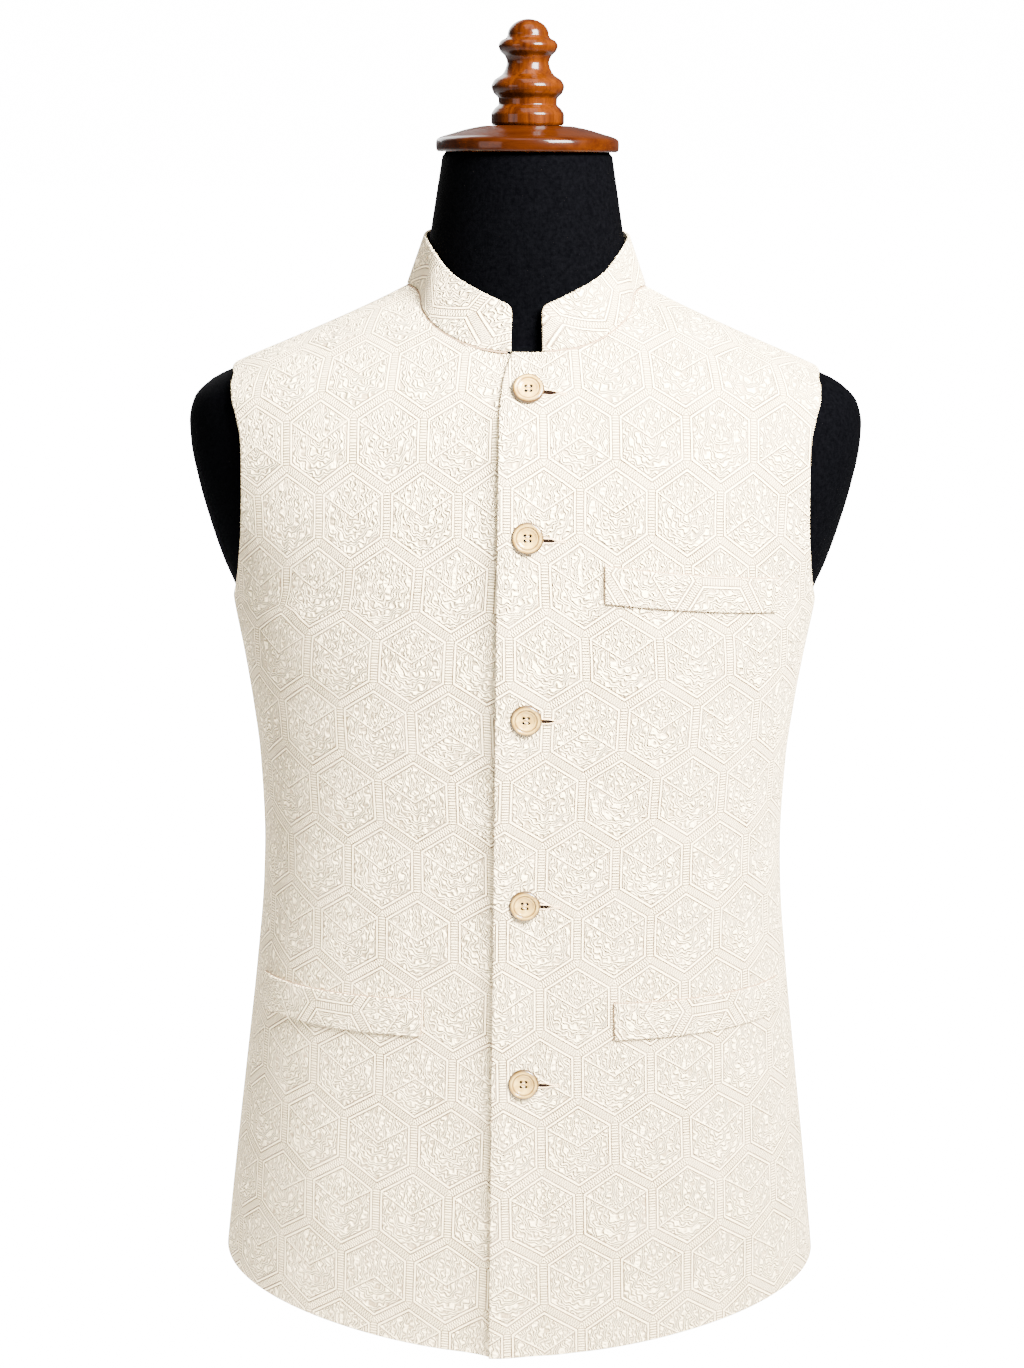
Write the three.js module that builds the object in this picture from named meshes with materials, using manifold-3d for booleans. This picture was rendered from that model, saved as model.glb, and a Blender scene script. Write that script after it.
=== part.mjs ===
// A sleeveless stand-collar waistcoat, buttoned on a headless dress form with a turned wooden cap.
// Millimetres, +Z up. The origin is on the floor below the neck, the front is -Y, and the wearer's left is +X.
// Cloth and form are surfaces of level rings about the vertical axis. A ring has a half width and a front and
// a back depth, and a direction on it is a turn: 0 to the front, a quarter to the left, a half to the back.
// A panel is the patch of such a surface between two cut edges, thickened inwards along the normal.
import * as THREE from "three";
import { mergeGeometries, mergeVertices } from "three/addons/utils/BufferGeometryUtils.js";
import Module from "manifold-3d";

const QUARTER = Math.PI / 2;
const { clamp, lerp, radToDeg, smoothstep } = THREE.MathUtils;

// Cloth: the jacquard with its canvas, as one wall, and the gap that parts two pieces at a seam.
const CLOTH = 2;
const SEAM_GAP = 0.3;

// The front closes left over right. The left front stands proud of the right one where they overlap.
const LAP_X = -19;
const UNDERLAP_X = -17;
const LAP_LIFT = 1.6;
const UNDERLAP_LIFT = -1.2;
const LIFT_FROM_X = 42;
const LIFT_FULL_X = 20;

// Hem, underarm and neck heights.
const HEM_FRONT_Z = 16.3;
const HEM_SIDE_Z = 39;
const UNDERARM_Z = 541;
const NECK_FRONT_Z = 727;
const NECK_SIDE_Z = 768.5;
const NECK_BACK_Z = 775;

// Stand collar: half the gap between its ends, and how far it stands proud of the neckline.
const COLLAR_WALL = 2.4;
const COLLAR_PROUD = 0.9;
const COLLAR_HALF_GAP = 10.5;
const COLLAR_CORNER = 4;

// Welts lie on the cloth. Buttons are sewn through four holes.
const WELT_WALL = 1.6;
const WELT_PROUD = 0.5;
const BUTTON_RADIUS = 11;
const BUTTON_X = 1.2;
const BUTTON_HEIGHTS = [702.8, 606.7, 482.2, 348, 218.4];
const BUTTON_HOLE_RADIUS = 1;
const BUTTON_HOLE_OUT = 2.4;
const DRILL_LENGTH = 12;

// The dress form ends below the neck cap.
const NECK_TOP_Z = 860.7;
const CAP_Z = 861;
const FINIAL_Z = CAP_Z + 18.3;

// Grid steps: across a front, across half the back, and up a panel in three stages.
const FRONT_COLUMNS = 14;
const HALF_BACK_COLUMNS = 11;
const SKIRT_ROWS = 13;
const CHEST_ROWS = 8;
const YOKE_ROWS = 10;
const COLLAR_COLUMNS = 48;
const COLLAR_RISES = [0, 0.35, 0.7, 1];
const WELT_COLUMNS = 12;
const WELT_RISES = 2;
const BUTTON_TURNS = 16;
const HOLE_SIDES = 6;
const FORM_TURNS = 40;
const CAP_TURNS = 28;
const FINIAL_RISES = 22;
const DOME_RISES = 5;

// Levels of the form: close together at the foot and over the shoulders, and at the rounded top of the neck.
const FORM_LEVELS = [
  { upTo: 12, step: 6 },
  { upTo: 640, step: 34 },
  { upTo: 694, step: 12 },
  { upTo: 745, step: 8.5 },
  { upTo: 775, step: 5 },
  { upTo: 850, step: 20 },
  { upTo: 858, step: 5 },
];

// Outer face of the cloth. Above the underarm the rings follow the form's shoulders, past the armholes.
const CLOTH_RINGS = [
  { z: 0, side: 229.5, front: 149, back: 134, square: 2.05 },
  { z: 36, side: 225.8, front: 146.5, back: 131, square: 2.08 },
  { z: 111, side: 217.4, front: 140.5, back: 124, square: 2.15 },
  { z: 192, side: 207.7, front: 133.5, back: 116, square: 2.2 },
  { z: 272, side: 198.3, front: 127.5, back: 109.5, square: 2.25 },
  { z: 331, side: 192.9, front: 124.5, back: 106.5, square: 2.25 },
  { z: 370, side: 191.6, front: 124.5, back: 106.5, square: 2.25 },
  { z: 428, side: 193.9, front: 126.5, back: 110, square: 2.25 },
  { z: 466, side: 198.2, front: 128.5, back: 113.5, square: 2.25 },
  { z: 504, side: 204, front: 130.5, back: 117.5, square: 2.25 },
  { z: 541, side: 210.8, front: 131.5, back: 121.5, square: 2.25 },
  { z: 549, side: 212, front: 131.4, back: 122, square: 2.22 },
  { z: 564, side: 215.5, front: 131, back: 123, square: 2.18 },
  { z: 590, side: 225.5, front: 129.7, back: 124, square: 2.14 },
  { z: 622, side: 237.5, front: 126.7, back: 123.4, square: 2.07 },
  { z: 658, side: 245.3, front: 118.5, back: 119.5, square: 2.02 },
  { z: 673, side: 246, front: 113.5, back: 116, square: 2 },
  { z: 688, side: 243, front: 107, back: 112, square: 2 },
  { z: 700, side: 232, front: 100.5, back: 108, square: 2 },
  { z: 708, side: 218, front: 95.5, back: 104.8, square: 2 },
  { z: 715.5, side: 202.7, front: 90.5, back: 101, square: 2 },
  { z: 729.7, side: 169.5, front: 80.5, back: 94, square: 2 },
  { z: 743.9, side: 136.7, front: 68.3, back: 86, square: 2 },
  { z: 753, side: 116.5, front: 57.7, back: 80, square: 2 },
  { z: 760, side: 101.7, front: 45.5, back: 75.8, square: 2 },
  { z: 767, side: 87.8, front: 31.5, back: 72, square: 2 },
  { z: 776, side: 69, front: 15, back: 67, square: 2 },
  { z: 790, side: 45, front: 8, back: 50, square: 2 },
];

// Torso of the form: flat foot, hip, waist, chest and rounded shoulder caps.
const TORSO_RINGS = [
  { z: 0, side: 178, front: 94, back: 92, square: 2.2 },
  { z: 6, side: 186, front: 102, back: 98, square: 2.2 },
  { z: 30, side: 192, front: 107, back: 104, square: 2.2 },
  { z: 110, side: 196, front: 111, back: 108, square: 2.2 },
  { z: 200, side: 190, front: 109, back: 101, square: 2.2 },
  { z: 300, side: 178, front: 105, back: 93, square: 2.2 },
  { z: 350, side: 175, front: 104, back: 91, square: 2.2 },
  { z: 420, side: 181, front: 110, back: 98, square: 2.2 },
  { z: 500, side: 196, front: 119, back: 108, square: 2.2 },
  { z: 541, side: 206, front: 122, back: 112.5, square: 2.15 },
  { z: 556, side: 211.8, front: 121.5, back: 113, square: 2 },
  { z: 571, side: 218.2, front: 121, back: 113.5, square: 2 },
  { z: 600, side: 227.8, front: 120, back: 114, square: 2 },
  { z: 630, side: 235.8, front: 117, back: 113.7, square: 2 },
  { z: 658, side: 240.9, front: 111.5, back: 112, square: 2 },
  { z: 672.5, side: 241.6, front: 107.5, back: 110, square: 2 },
  { z: 687, side: 238.3, front: 101.1, back: 106.5, square: 2 },
  { z: 701, side: 225, front: 93.2, back: 101.5, square: 2 },
  { z: 712, side: 202.6, front: 85.9, back: 97.1, square: 2 },
  { z: 726, side: 171.2, front: 76.6, back: 90.4, square: 2 },
  { z: 740, side: 138.2, front: 64.9, back: 82.6, square: 2 },
  { z: 754, side: 106.2, front: 47, back: 73.5, square: 2 },
  { z: 764, side: 80.8, front: 28.8, back: 66, square: 2 },
  { z: 776, side: 52, front: 12, back: 56, square: 2 },
  { z: 862, side: 20, front: 6, back: 20, square: 2 },
];

const NECK_RINGS = [
  { z: 0, side: 40, front: 40, back: 40, square: 2 },
  { z: 700, side: 70, front: 72, back: 66, square: 2 },
  { z: 735, side: 72.5, front: 71.5, back: 64, square: 2 },
  { z: 757, side: 72.5, front: 67.5, back: 62, square: 2 },
  { z: 780, side: 71, front: 65.5, back: 61, square: 2 },
  { z: 800, side: 68.8, front: 64, back: 60.5, square: 2 },
  { z: 828, side: 64.6, front: 62, back: 60, square: 2 },
  { z: 853, side: 60.2, front: 59.6, back: 59, square: 2 },
  { z: 858.5, side: 58.4, front: 58, back: 57.6, square: 2 },
  { z: NECK_TOP_Z, side: 54, front: 54, back: 54, square: 2 },
];

// How far the corner between neck and shoulders is filled.
const NECK_FILLET = 4;

// Armhole seen from the side, from underarm to shoulder tip: the depth of its front and of its back edge.
const ARMHOLE = [
  { z: UNDERARM_Z, front: 0, back: 0 },
  { z: 549, front: -25, back: 26 },
  { z: 564, front: -46, back: 47 },
  { z: 590, front: -64, back: 64 },
  { z: 622, front: -72, back: 70 },
  { z: 660, front: -70, back: 68 },
  { z: 689, front: -57, back: 56 },
  { z: 707, front: -33, back: 33 },
  { z: 713.5, front: 0, back: 0 },
];

const LAP_EDGE = [
  { z: 0, x: LAP_X - 2.8 },
  { z: 350, x: LAP_X - 1.4 },
  { z: 592, x: LAP_X },
  { z: 684, x: LAP_X + 0.8 },
  { z: 706, x: LAP_X + 2.6 },
  { z: 717, x: LAP_X + 5.2 },
  { z: NECK_FRONT_Z, x: LAP_X + 9.2 },
];
const UNDERLAP_EDGE = [
  { z: 0, x: UNDERLAP_X },
  { z: NECK_FRONT_Z, x: UNDERLAP_X + 4 },
];

// Top edge of the collar by turn from the front, in degrees: how far it is from the axis, and how high.
const COLLAR_TOP = [
  { turn: 0, out: 75.5, z: 754.5 },
  { turn: 20, out: 74, z: 765 },
  { turn: 45, out: 73, z: 778.8 },
  { turn: 65, out: 72.6, z: 793.5 },
  { turn: 80, out: 72.8, z: 801.5 },
  { turn: 100, out: 72.8, z: 806 },
  { turn: 140, out: 69, z: 810 },
  { turn: 180, out: 67.5, z: 811 },
];

// Welts, on the wearer's own side. Each end has its distance from the middle and its lower and upper edge.
const WELTS = [
  {
    name: "welt_chest_left",
    left: true,
    near: { x: 54, low: 562, high: 587.5 },
    far: { x: 174.8, low: 548.4, high: 572.4 },
  },
  {
    name: "welt_hip_left",
    left: true,
    near: { x: 65.4, low: 247.6, high: 274.2 },
    far: { x: 189.2, low: 246.6, high: 271.4 },
  },
  {
    name: "welt_hip_right",
    left: false,
    near: { x: 71.6, low: 249.4, high: 276 },
    far: { x: 190.6, low: 246.2, high: 271.4 },
  },
];

const CREAM_CLOTH = new THREE.MeshStandardMaterial({ color: 0xefe8dd, roughness: 0.8, metalness: 0 });
const CREAM_BUTTON = new THREE.MeshStandardMaterial({ color: 0xe9d3b0, roughness: 0.35, metalness: 0 });
const BLACK_JERSEY = new THREE.MeshStandardMaterial({ color: 0x0b0b0d, roughness: 0.9, metalness: 0 });
const VARNISHED_WOOD = new THREE.MeshStandardMaterial({ color: 0x8a4310, roughness: 0.2, metalness: 0 });

// A monotone cubic through one column of a table, so that it never overshoots its rows.
function through(rows, key, name) {
  const at = rows.map((row) => row[key]);
  const value = rows.map((row) => row[name]);
  const slope = at.slice(1).map((next, i) => (value[i + 1] - value[i]) / (next - at[i]));
  const tangent = value.map((_, i) => {
    const before = slope[Math.max(i - 1, 0)];
    const after = slope[Math.min(i, slope.length - 1)];
    return before * after > 0 ? (2 * before * after) / (before + after) : 0;
  });
  return (wanted) => {
    const here = clamp(wanted, at[0], at[at.length - 1]);
    let i = slope.length - 1;
    while (i > 0 && here < at[i]) i -= 1;
    const width = at[i + 1] - at[i];
    const t = (here - at[i]) / width;
    const bend = t * (1 - t) * width;
    const ease = t * t * (3 - 2 * t);
    return lerp(value[i], value[i + 1], ease) + bend * ((1 - t) * tangent[i] - t * tangent[i + 1]);
  };
}

// Level rings as superellipses, read in polar form: (|x| / side)^n + (|y| / depth)^n = 1.
class RingSurface {
  constructor(rows) {
    this.side = through(rows, "z", "side");
    this.front = through(rows, "z", "front");
    this.back = through(rows, "z", "back");
    this.square = through(rows, "z", "square");
  }

  radius(turn, z) {
    const n = this.square(z);
    const depth = Math.cos(turn) > 0 ? this.front(z) : this.back(z);
    const across = Math.abs(Math.sin(turn)) / this.side(z);
    const along = Math.abs(Math.cos(turn)) / depth;
    return (across ** n + along ** n) ** (-1 / n);
  }

  point(turn, z) {
    const radius = this.radius(turn, z);
    return new THREE.Vector3(radius * Math.sin(turn), -radius * Math.cos(turn), z);
  }

  normal(turn, z) {
    const around = this.point(turn + 1e-3, z).sub(this.point(turn - 1e-3, z));
    const upwards = this.point(turn, z + 0.5).sub(this.point(turn, z - 0.5));
    return around.cross(upwards).normalize();
  }

  // The turn at which the front of the ring is x from the middle.
  turnAtWidth(x, z) {
    const n = this.square(z);
    const share = Math.min(Math.abs(x) / this.side(z), 1);
    return Math.atan2(x, this.front(z) * (1 - share ** n) ** (1 / n));
  }

  // The turn at which the left side of the ring is y deep.
  turnAtDepth(y, z) {
    const n = this.square(z);
    const share = Math.abs(y) / (y < 0 ? this.front(z) : this.back(z));
    return Math.atan2(this.side(z) * (1 - share ** n) ** (1 / n), -y);
  }
}

// The form: at each turn the wider of torso and neck, with the corner between them filled.
class FormSurface extends RingSurface {
  constructor(torsoRows, neckRows, fillet) {
    super(torsoRows);
    this.neck = new RingSurface(neckRows);
    this.fillet = fillet;
  }

  radius(turn, z) {
    const torso = super.radius(turn, z);
    const neck = this.neck.radius(turn, z);
    return (torso + neck + Math.hypot(torso - neck, this.fillet)) / 2;
  }
}

const cloth = new RingSurface(CLOTH_RINGS);
const form = new FormSurface(TORSO_RINGS, NECK_RINGS, NECK_FILLET);

function hemHeight(turn) {
  const frontShare = Math.max(Math.cos(turn), 0) ** 1.5;
  return lerp(HEM_SIDE_Z, HEM_FRONT_Z, frontShare);
}

function necklineHeight(turn) {
  const sine = Math.abs(Math.sin(turn));
  if (Math.cos(turn) > 0) return lerp(NECK_FRONT_Z, NECK_SIDE_Z, sine ** 2.8);
  return lerp(NECK_BACK_Z, NECK_SIDE_Z, sine ** 2);
}

// A point of the cloth, moved out along the normal.
function onCloth(turn, z, lift) {
  return cloth.point(turn, z).addScaledVector(cloth.normal(turn, z), lift);
}

// A closed wall between two grids of points with equal rows. Columns run with the turn and rows run upwards.
// The first shared rows stay open at the first column, where a mirror image takes over.
function wall(outer, inner, sharedRows = 0) {
  const rows = outer.length;
  const columns = outer[0].length;
  const points = [...outer.flat(), ...inner.flat()];
  const index = [];
  const outside = (i, j) => j * columns + i;
  const inside = (i, j) => rows * columns + j * columns + i;
  const quad = (a, b, c, d) => index.push(a, b, c, a, c, d);
  for (let j = 0; j < rows - 1; j += 1) {
    for (let i = 0; i < columns - 1; i += 1) {
      quad(outside(i, j), outside(i + 1, j), outside(i + 1, j + 1), outside(i, j + 1));
      quad(inside(i, j), inside(i, j + 1), inside(i + 1, j + 1), inside(i + 1, j));
    }
  }
  for (let i = 0; i < columns - 1; i += 1) {
    quad(outside(i + 1, 0), outside(i, 0), inside(i, 0), inside(i + 1, 0));
    quad(outside(i, rows - 1), outside(i + 1, rows - 1), inside(i + 1, rows - 1), inside(i, rows - 1));
  }
  const last = columns - 1;
  for (let j = 0; j < rows - 1; j += 1) {
    if (j >= sharedRows) quad(outside(0, j), outside(0, j + 1), inside(0, j + 1), inside(0, j));
    quad(outside(last, j + 1), outside(last, j), inside(last, j), inside(last, j + 1));
  }
  return indexed(points, index);
}

function indexed(points, index) {
  return new THREE.BufferGeometry().setFromPoints(points).setIndex(index);
}

// The image of a geometry across the middle plane, with its faces turned back outwards.
function mirrored(geometry) {
  const image = geometry.clone().scale(-1, 1, 1);
  const index = Array.from(geometry.index.array);
  for (let i = 0; i < index.length; i += 3) [index[i + 1], index[i + 2]] = [index[i + 2], index[i + 1]];
  image.setIndex(index);
  return image;
}

function steps(count) {
  return Array.from({ length: count + 1 }, (_, i) => i / count);
}

// The side and shoulder seams lie a quarter turn round. Front and back each keep half the gap there.
function seamTurn(panel, z) {
  const halfGap = SEAM_GAP / 2 / cloth.side(z);
  return panel === "front" ? QUARTER - halfGap : QUARTER + halfGap;
}

// The two edges of a panel, row by row. The skirt rows are level. Above them the inner edge climbs to the
// neck and follows the neckline to the shoulder, while the outer edge follows the armhole to the shoulder tip.
function panelRows({ innerTurn, neckCorner, armholeSide }) {
  const armhole = new THREE.SplineCurve(ARMHOLE.map((row) => new THREE.Vector2(row[armholeSide], row.z)));
  const cornerZ = necklineHeight(neckCorner);
  const neckEnd = seamTurn(armholeSide, NECK_SIDE_Z);
  const rows = steps(SKIRT_ROWS).map((share) => ({ share, skirt: true }));
  const upperRows = CHEST_ROWS + YOKE_ROWS;
  for (let k = 1; k <= upperRows; k += 1) {
    const edge = armhole.getPointAt(k / upperRows);
    const outer = { turn: cloth.turnAtDepth(edge.x, edge.y), z: edge.y };
    outer.turn += seamTurn(armholeSide, outer.z) - QUARTER;
    let inner;
    if (k <= CHEST_ROWS) {
      const z = lerp(UNDERARM_Z, cornerZ, k / CHEST_ROWS);
      inner = { turn: innerTurn(z), z };
    } else {
      const turn = lerp(neckCorner, neckEnd, (k - CHEST_ROWS) / YOKE_ROWS);
      inner = { turn, z: necklineHeight(turn) };
    }
    rows.push({ inner, outer });
  }
  return rows;
}

// Places of a panel's grid on the cloth, as turns and heights, from the inner edge to the outer edge.
function panelGrid({ innerTurn, neckCorner, armholeSide, columns }) {
  return panelRows({ innerTurn, neckCorner, armholeSide }).map((row) =>
    steps(columns).map((across) => {
      if (!row.skirt) {
        return {
          turn: lerp(row.inner.turn, row.outer.turn, across),
          z: lerp(row.inner.z, row.outer.z, across),
        };
      }
      const level = lerp(HEM_SIDE_Z, UNDERARM_Z, row.share);
      const turn = lerp(innerTurn(level), seamTurn(armholeSide, level), across);
      return { turn, z: lerp(hemHeight(turn), UNDERARM_Z, row.share) };
    }),
  );
}

// How far a place on the fronts is into the lap, from 0 to 1 towards the edge.
function lapShare(x) {
  return 1 - smoothstep(x, LIFT_FULL_X, LIFT_FROM_X);
}

// A front, drawn on the left side of the body. It reaches past the middle to its own edge.
function frontWall({ edge, lift }) {
  const edgeX = through(edge, "z", "x");
  const innerTurn = (z) => cloth.turnAtWidth(edgeX(z), z);
  const neckCorner = innerTurn(NECK_FRONT_Z);
  const grid = panelGrid({ innerTurn, neckCorner, armholeSide: "front", columns: FRONT_COLUMNS });
  const place = (depth) =>
    grid.map((row) =>
      row.map(({ turn, z }) => onCloth(turn, z, lift * lapShare(cloth.point(turn, z).x) - depth)),
    );
  return wall(place(0), place(CLOTH));
}

function makeFronts() {
  const left = frontWall({ edge: LAP_EDGE, lift: LAP_LIFT });
  const right = frontWall({ edge: UNDERLAP_EDGE, lift: UNDERLAP_LIFT });
  return [
    named("front_left", left, CREAM_CLOTH),
    named("front_right", mirrored(right), CREAM_CLOTH),
  ];
}

// The back is one piece: its right half from the middle to the side seam, joined to the same mirrored.
function makeBack() {
  const innerTurn = () => Math.PI;
  const grid = panelGrid({ innerTurn, neckCorner: Math.PI, armholeSide: "back", columns: HALF_BACK_COLUMNS });
  const place = (depth) => grid.map((row) => row.map(({ turn, z }) => onCloth(2 * Math.PI - turn, z, -depth)));
  const half = wall(place(0), place(CLOTH), SKIRT_ROWS + CHEST_ROWS);
  return named("back", mergeGeometries([half, mirrored(half)]), CREAM_CLOTH);
}

// The collar band rises from the neckline to COLLAR_TOP. Its ends are upright lines with eased corners.
function makeCollar() {
  const out = through(COLLAR_TOP, "turn", "out");
  const top = through(COLLAR_TOP, "turn", "z");
  const degrees = (turn) => radToDeg(Math.min(turn, 2 * Math.PI - turn));
  const surface = (turn, rise) => {
    const low = necklineHeight(turn);
    const lap = turn < QUARTER ? LAP_LIFT * lapShare(cloth.point(turn, low).x) : 0;
    const base = onCloth(turn, low, COLLAR_PROUD + lap);
    const radius = lerp(Math.hypot(base.x, base.y), out(degrees(turn)), rise);
    const fromEnd = Math.cos(turn) > 0 ? radius * Math.abs(Math.sin(turn)) - COLLAR_HALF_GAP : radius;
    const corner = COLLAR_CORNER * (1 - Math.sqrt(1 - (1 - clamp(fromEnd / COLLAR_CORNER, 0, 1)) ** 2));
    const z = lerp(base.z + SEAM_GAP, top(degrees(turn)) - corner, rise);
    return new THREE.Vector3(radius * Math.sin(turn), -radius * Math.cos(turn), z);
  };
  const place = (depth) =>
    COLLAR_RISES.map((rise) => {
      const endTurn = Math.asin(COLLAR_HALF_GAP / lerp(cloth.front(NECK_FRONT_Z), COLLAR_TOP[0].out, rise));
      return steps(COLLAR_COLUMNS).map((along) => {
        const turn = lerp(endTurn, 2 * Math.PI - endTurn, along);
        const around = surface(turn + 1e-3, rise).sub(surface(turn - 1e-3, rise)).setZ(0);
        const upwards = surface(turn, rise + 0.01).sub(surface(turn, rise - 0.01));
        return surface(turn, rise).addScaledVector(around.cross(upwards).normalize(), -depth);
      });
    });
  return named("collar", wall(place(0), place(COLLAR_WALL)), CREAM_CLOTH);
}

// A welt: a strip of cloth on the front, with its lower and upper edges as straight lines over the surface.
function makeWelt({ name, left, near, far }) {
  const nearTurn = cloth.turnAtWidth(near.x, near.low);
  const farTurn = cloth.turnAtWidth(far.x, far.low);
  const place = (lift) =>
    steps(WELT_RISES).map((up) =>
      steps(WELT_COLUMNS).map((along) => {
        const low = lerp(near.low, far.low, along);
        const high = lerp(near.high, far.high, along);
        return onCloth(lerp(nearTurn, farTurn, along), lerp(low, high, up), lift);
      }),
    );
  const strip = wall(place(WELT_PROUD + WELT_WALL), place(WELT_PROUD));
  return named(name, left ? strip : mirrored(strip), CREAM_CLOTH);
}

// A two-step button: flat back, rounded rim, a ring groove and a dished middle with four holes.
function buttonGeometry(wasm) {
  const profile = [
    [0, 0],
    [BUTTON_RADIUS - 1.6, 0],
    [BUTTON_RADIUS, 1.2],
    [BUTTON_RADIUS, 2.2],
    [BUTTON_RADIUS - 1.8, 3.6],
    [BUTTON_RADIUS - 3.6, 3.7],
    [BUTTON_RADIUS - 6, 2.3],
    [0, 2.1],
  ].map(([r, h]) => new THREE.Vector2(r, h));
  const disc = new THREE.LatheGeometry(profile, BUTTON_TURNS).rotateX(QUARTER);
  let body = solid(wasm, disc);
  for (const quarter of [0.5, 1.5, 2.5, 3.5]) {
    const angle = quarter * QUARTER;
    const drill = new THREE.CylinderGeometry(BUTTON_HOLE_RADIUS, BUTTON_HOLE_RADIUS, DRILL_LENGTH, HOLE_SIDES);
    drill.rotateX(QUARTER);
    drill.translate(BUTTON_HOLE_OUT * Math.cos(angle), BUTTON_HOLE_OUT * Math.sin(angle), 0);
    body = body.subtract(solid(wasm, drill));
  }
  return fromSolid(body);
}

// Buttons stand on the lap with their faces along its normal.
function makeButtons(wasm) {
  const geometry = buttonGeometry(wasm);
  return BUTTON_HEIGHTS.map((z, i) => {
    const turn = cloth.turnAtWidth(BUTTON_X, z);
    const button = named(`button_${i + 1}`, geometry, CREAM_BUTTON);
    button.position.copy(onCloth(turn, z, LAP_LIFT + SEAM_GAP));
    button.quaternion.setFromUnitVectors(new THREE.Vector3(0, 0, 1), cloth.normal(turn, z));
    return button;
  });
}

// A closed loft of level rings. Heights run upwards, and both ends are closed by fans.
function loft(surface, heights, turns) {
  const points = [];
  const index = [];
  for (const z of heights) {
    for (let i = 0; i < turns; i += 1) points.push(surface.point((i / turns) * 2 * Math.PI, z));
  }
  const last = heights.length - 1;
  const bottom = points.push(new THREE.Vector3(0, 0, heights[0])) - 1;
  const top = points.push(new THREE.Vector3(0, 0, heights[last])) - 1;
  for (let i = 0; i < turns; i += 1) {
    const next = (i + 1) % turns;
    for (let j = 0; j < last; j += 1) {
      const low = j * turns;
      const high = low + turns;
      index.push(low + i, low + next, high + next, low + i, high + next, high + i);
    }
    index.push(bottom, next, i, top, last * turns + i, last * turns + next);
  }
  return indexed(points, index);
}

function makeForm() {
  const heights = [0];
  for (const { upTo, step } of FORM_LEVELS) {
    while (heights.at(-1) + step <= upTo) heights.push(heights.at(-1) + step);
  }
  return named("form_torso", loft(form, [...heights, NECK_TOP_Z], FORM_TURNS), BLACK_JERSEY);
}

// The neck cap is a disc with a low cone on top, as radius and height above its underside.
const CAP_PROFILE = [
  [0, 0],
  [62.4, 0],
  [64.2, 1.6],
  [64.4, 5],
  [64, 8],
  [62.2, 9.6],
  [53, 12.6],
  [39, 16.4],
  [28, 18],
  [0, 18],
];

// The finial's beads and coves, up to the foot of its dome.
const FINIAL_TURNING = [
  { height: 0, radius: 24.6 },
  { height: 2, radius: 25.6 },
  { height: 7, radius: 25.6 },
  { height: 11, radius: 23.6 },
  { height: 14.5, radius: 20.4 },
  { height: 18, radius: 20.6 },
  { height: 22.2, radius: 24.1 },
  { height: 26.3, radius: 25.5 },
  { height: 30.5, radius: 23.7 },
  { height: 34.6, radius: 18.1 },
  { height: 38.7, radius: 15.7 },
  { height: 42.8, radius: 14.7 },
  { height: 46.9, radius: 16.1 },
  { height: 50.6, radius: 19.6 },
  { height: 54, radius: 20.7 },
  { height: 57.2, radius: 19.2 },
  { height: 59.4, radius: 15.4 },
  { height: 61.2, radius: 14.4 },
];
const DOME = { foot: 61.2, radius: 14.4, height: 11 };

function turned(profile) {
  return new THREE.LatheGeometry(profile.map(([r, h]) => new THREE.Vector2(r, h)), CAP_TURNS).rotateX(QUARTER);
}

function finialProfile() {
  const radius = through(FINIAL_TURNING, "height", "radius");
  const stem = steps(FINIAL_RISES).map((share) => [radius(share * DOME.foot), share * DOME.foot]);
  const dome = steps(DOME_RISES).map((share) => [
    DOME.radius * Math.cos(share * QUARTER),
    DOME.foot + DOME.height * Math.sin(share * QUARTER),
  ]);
  return [[0, 0], ...stem, ...dome.slice(1, -1), [0, DOME.foot + DOME.height]];
}

function makeCap() {
  const cap = named("neck_cap", turned(CAP_PROFILE), VARNISHED_WOOD);
  cap.position.z = CAP_Z;
  const finial = named("finial", turned(finialProfile()), VARNISHED_WOOD);
  finial.position.z = FINIAL_Z;
  return [cap, finial];
}

// A closed mesh with merged corners as a solid, and back.
function solid(wasm, geometry) {
  const bare = geometry.clone().deleteAttribute("normal").deleteAttribute("uv");
  const merged = mergeVertices(bare, 1e-3);
  const vertProperties = merged.attributes.position.array;
  const triVerts = new Uint32Array(merged.index.array);
  return new wasm.Manifold(new wasm.Mesh({ numProp: 3, vertProperties, triVerts }));
}

function fromSolid(body) {
  const { vertProperties, triVerts } = body.getMesh();
  const geometry = new THREE.BufferGeometry();
  geometry.setAttribute("position", new THREE.Float32BufferAttribute(vertProperties, 3));
  geometry.setIndex(Array.from(triVerts));
  return geometry;
}

function named(name, geometry, material) {
  const mesh = new THREE.Mesh(geometry, material);
  mesh.name = name;
  return mesh;
}

const wasm = await Module();
wasm.setup();

const dressForm = new THREE.Group();
dressForm.add(makeForm(), ...makeCap());

const waistcoat = new THREE.Group();
waistcoat.add(...makeFronts(), makeBack(), makeCollar(), ...WELTS.map(makeWelt), ...makeButtons(wasm));

const part = new THREE.Group();
part.add(dressForm, waistcoat);
export default part;
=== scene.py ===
# %% [markdown]
# # A jacquard waistcoat on a dress form
# The waistcoat is sewn from two fronts, a back, a stand collar and three pocket welts. It hangs on a black
# dress form with a varnished wooden cap and finial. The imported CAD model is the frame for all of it: each
# piece made here stands in the place of its plain solid. The tables repeat the garment's measures in
# millimetres.

# %% Load the frame
import math

import bpy
import numpy as np
from mathutils import Matrix


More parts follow.
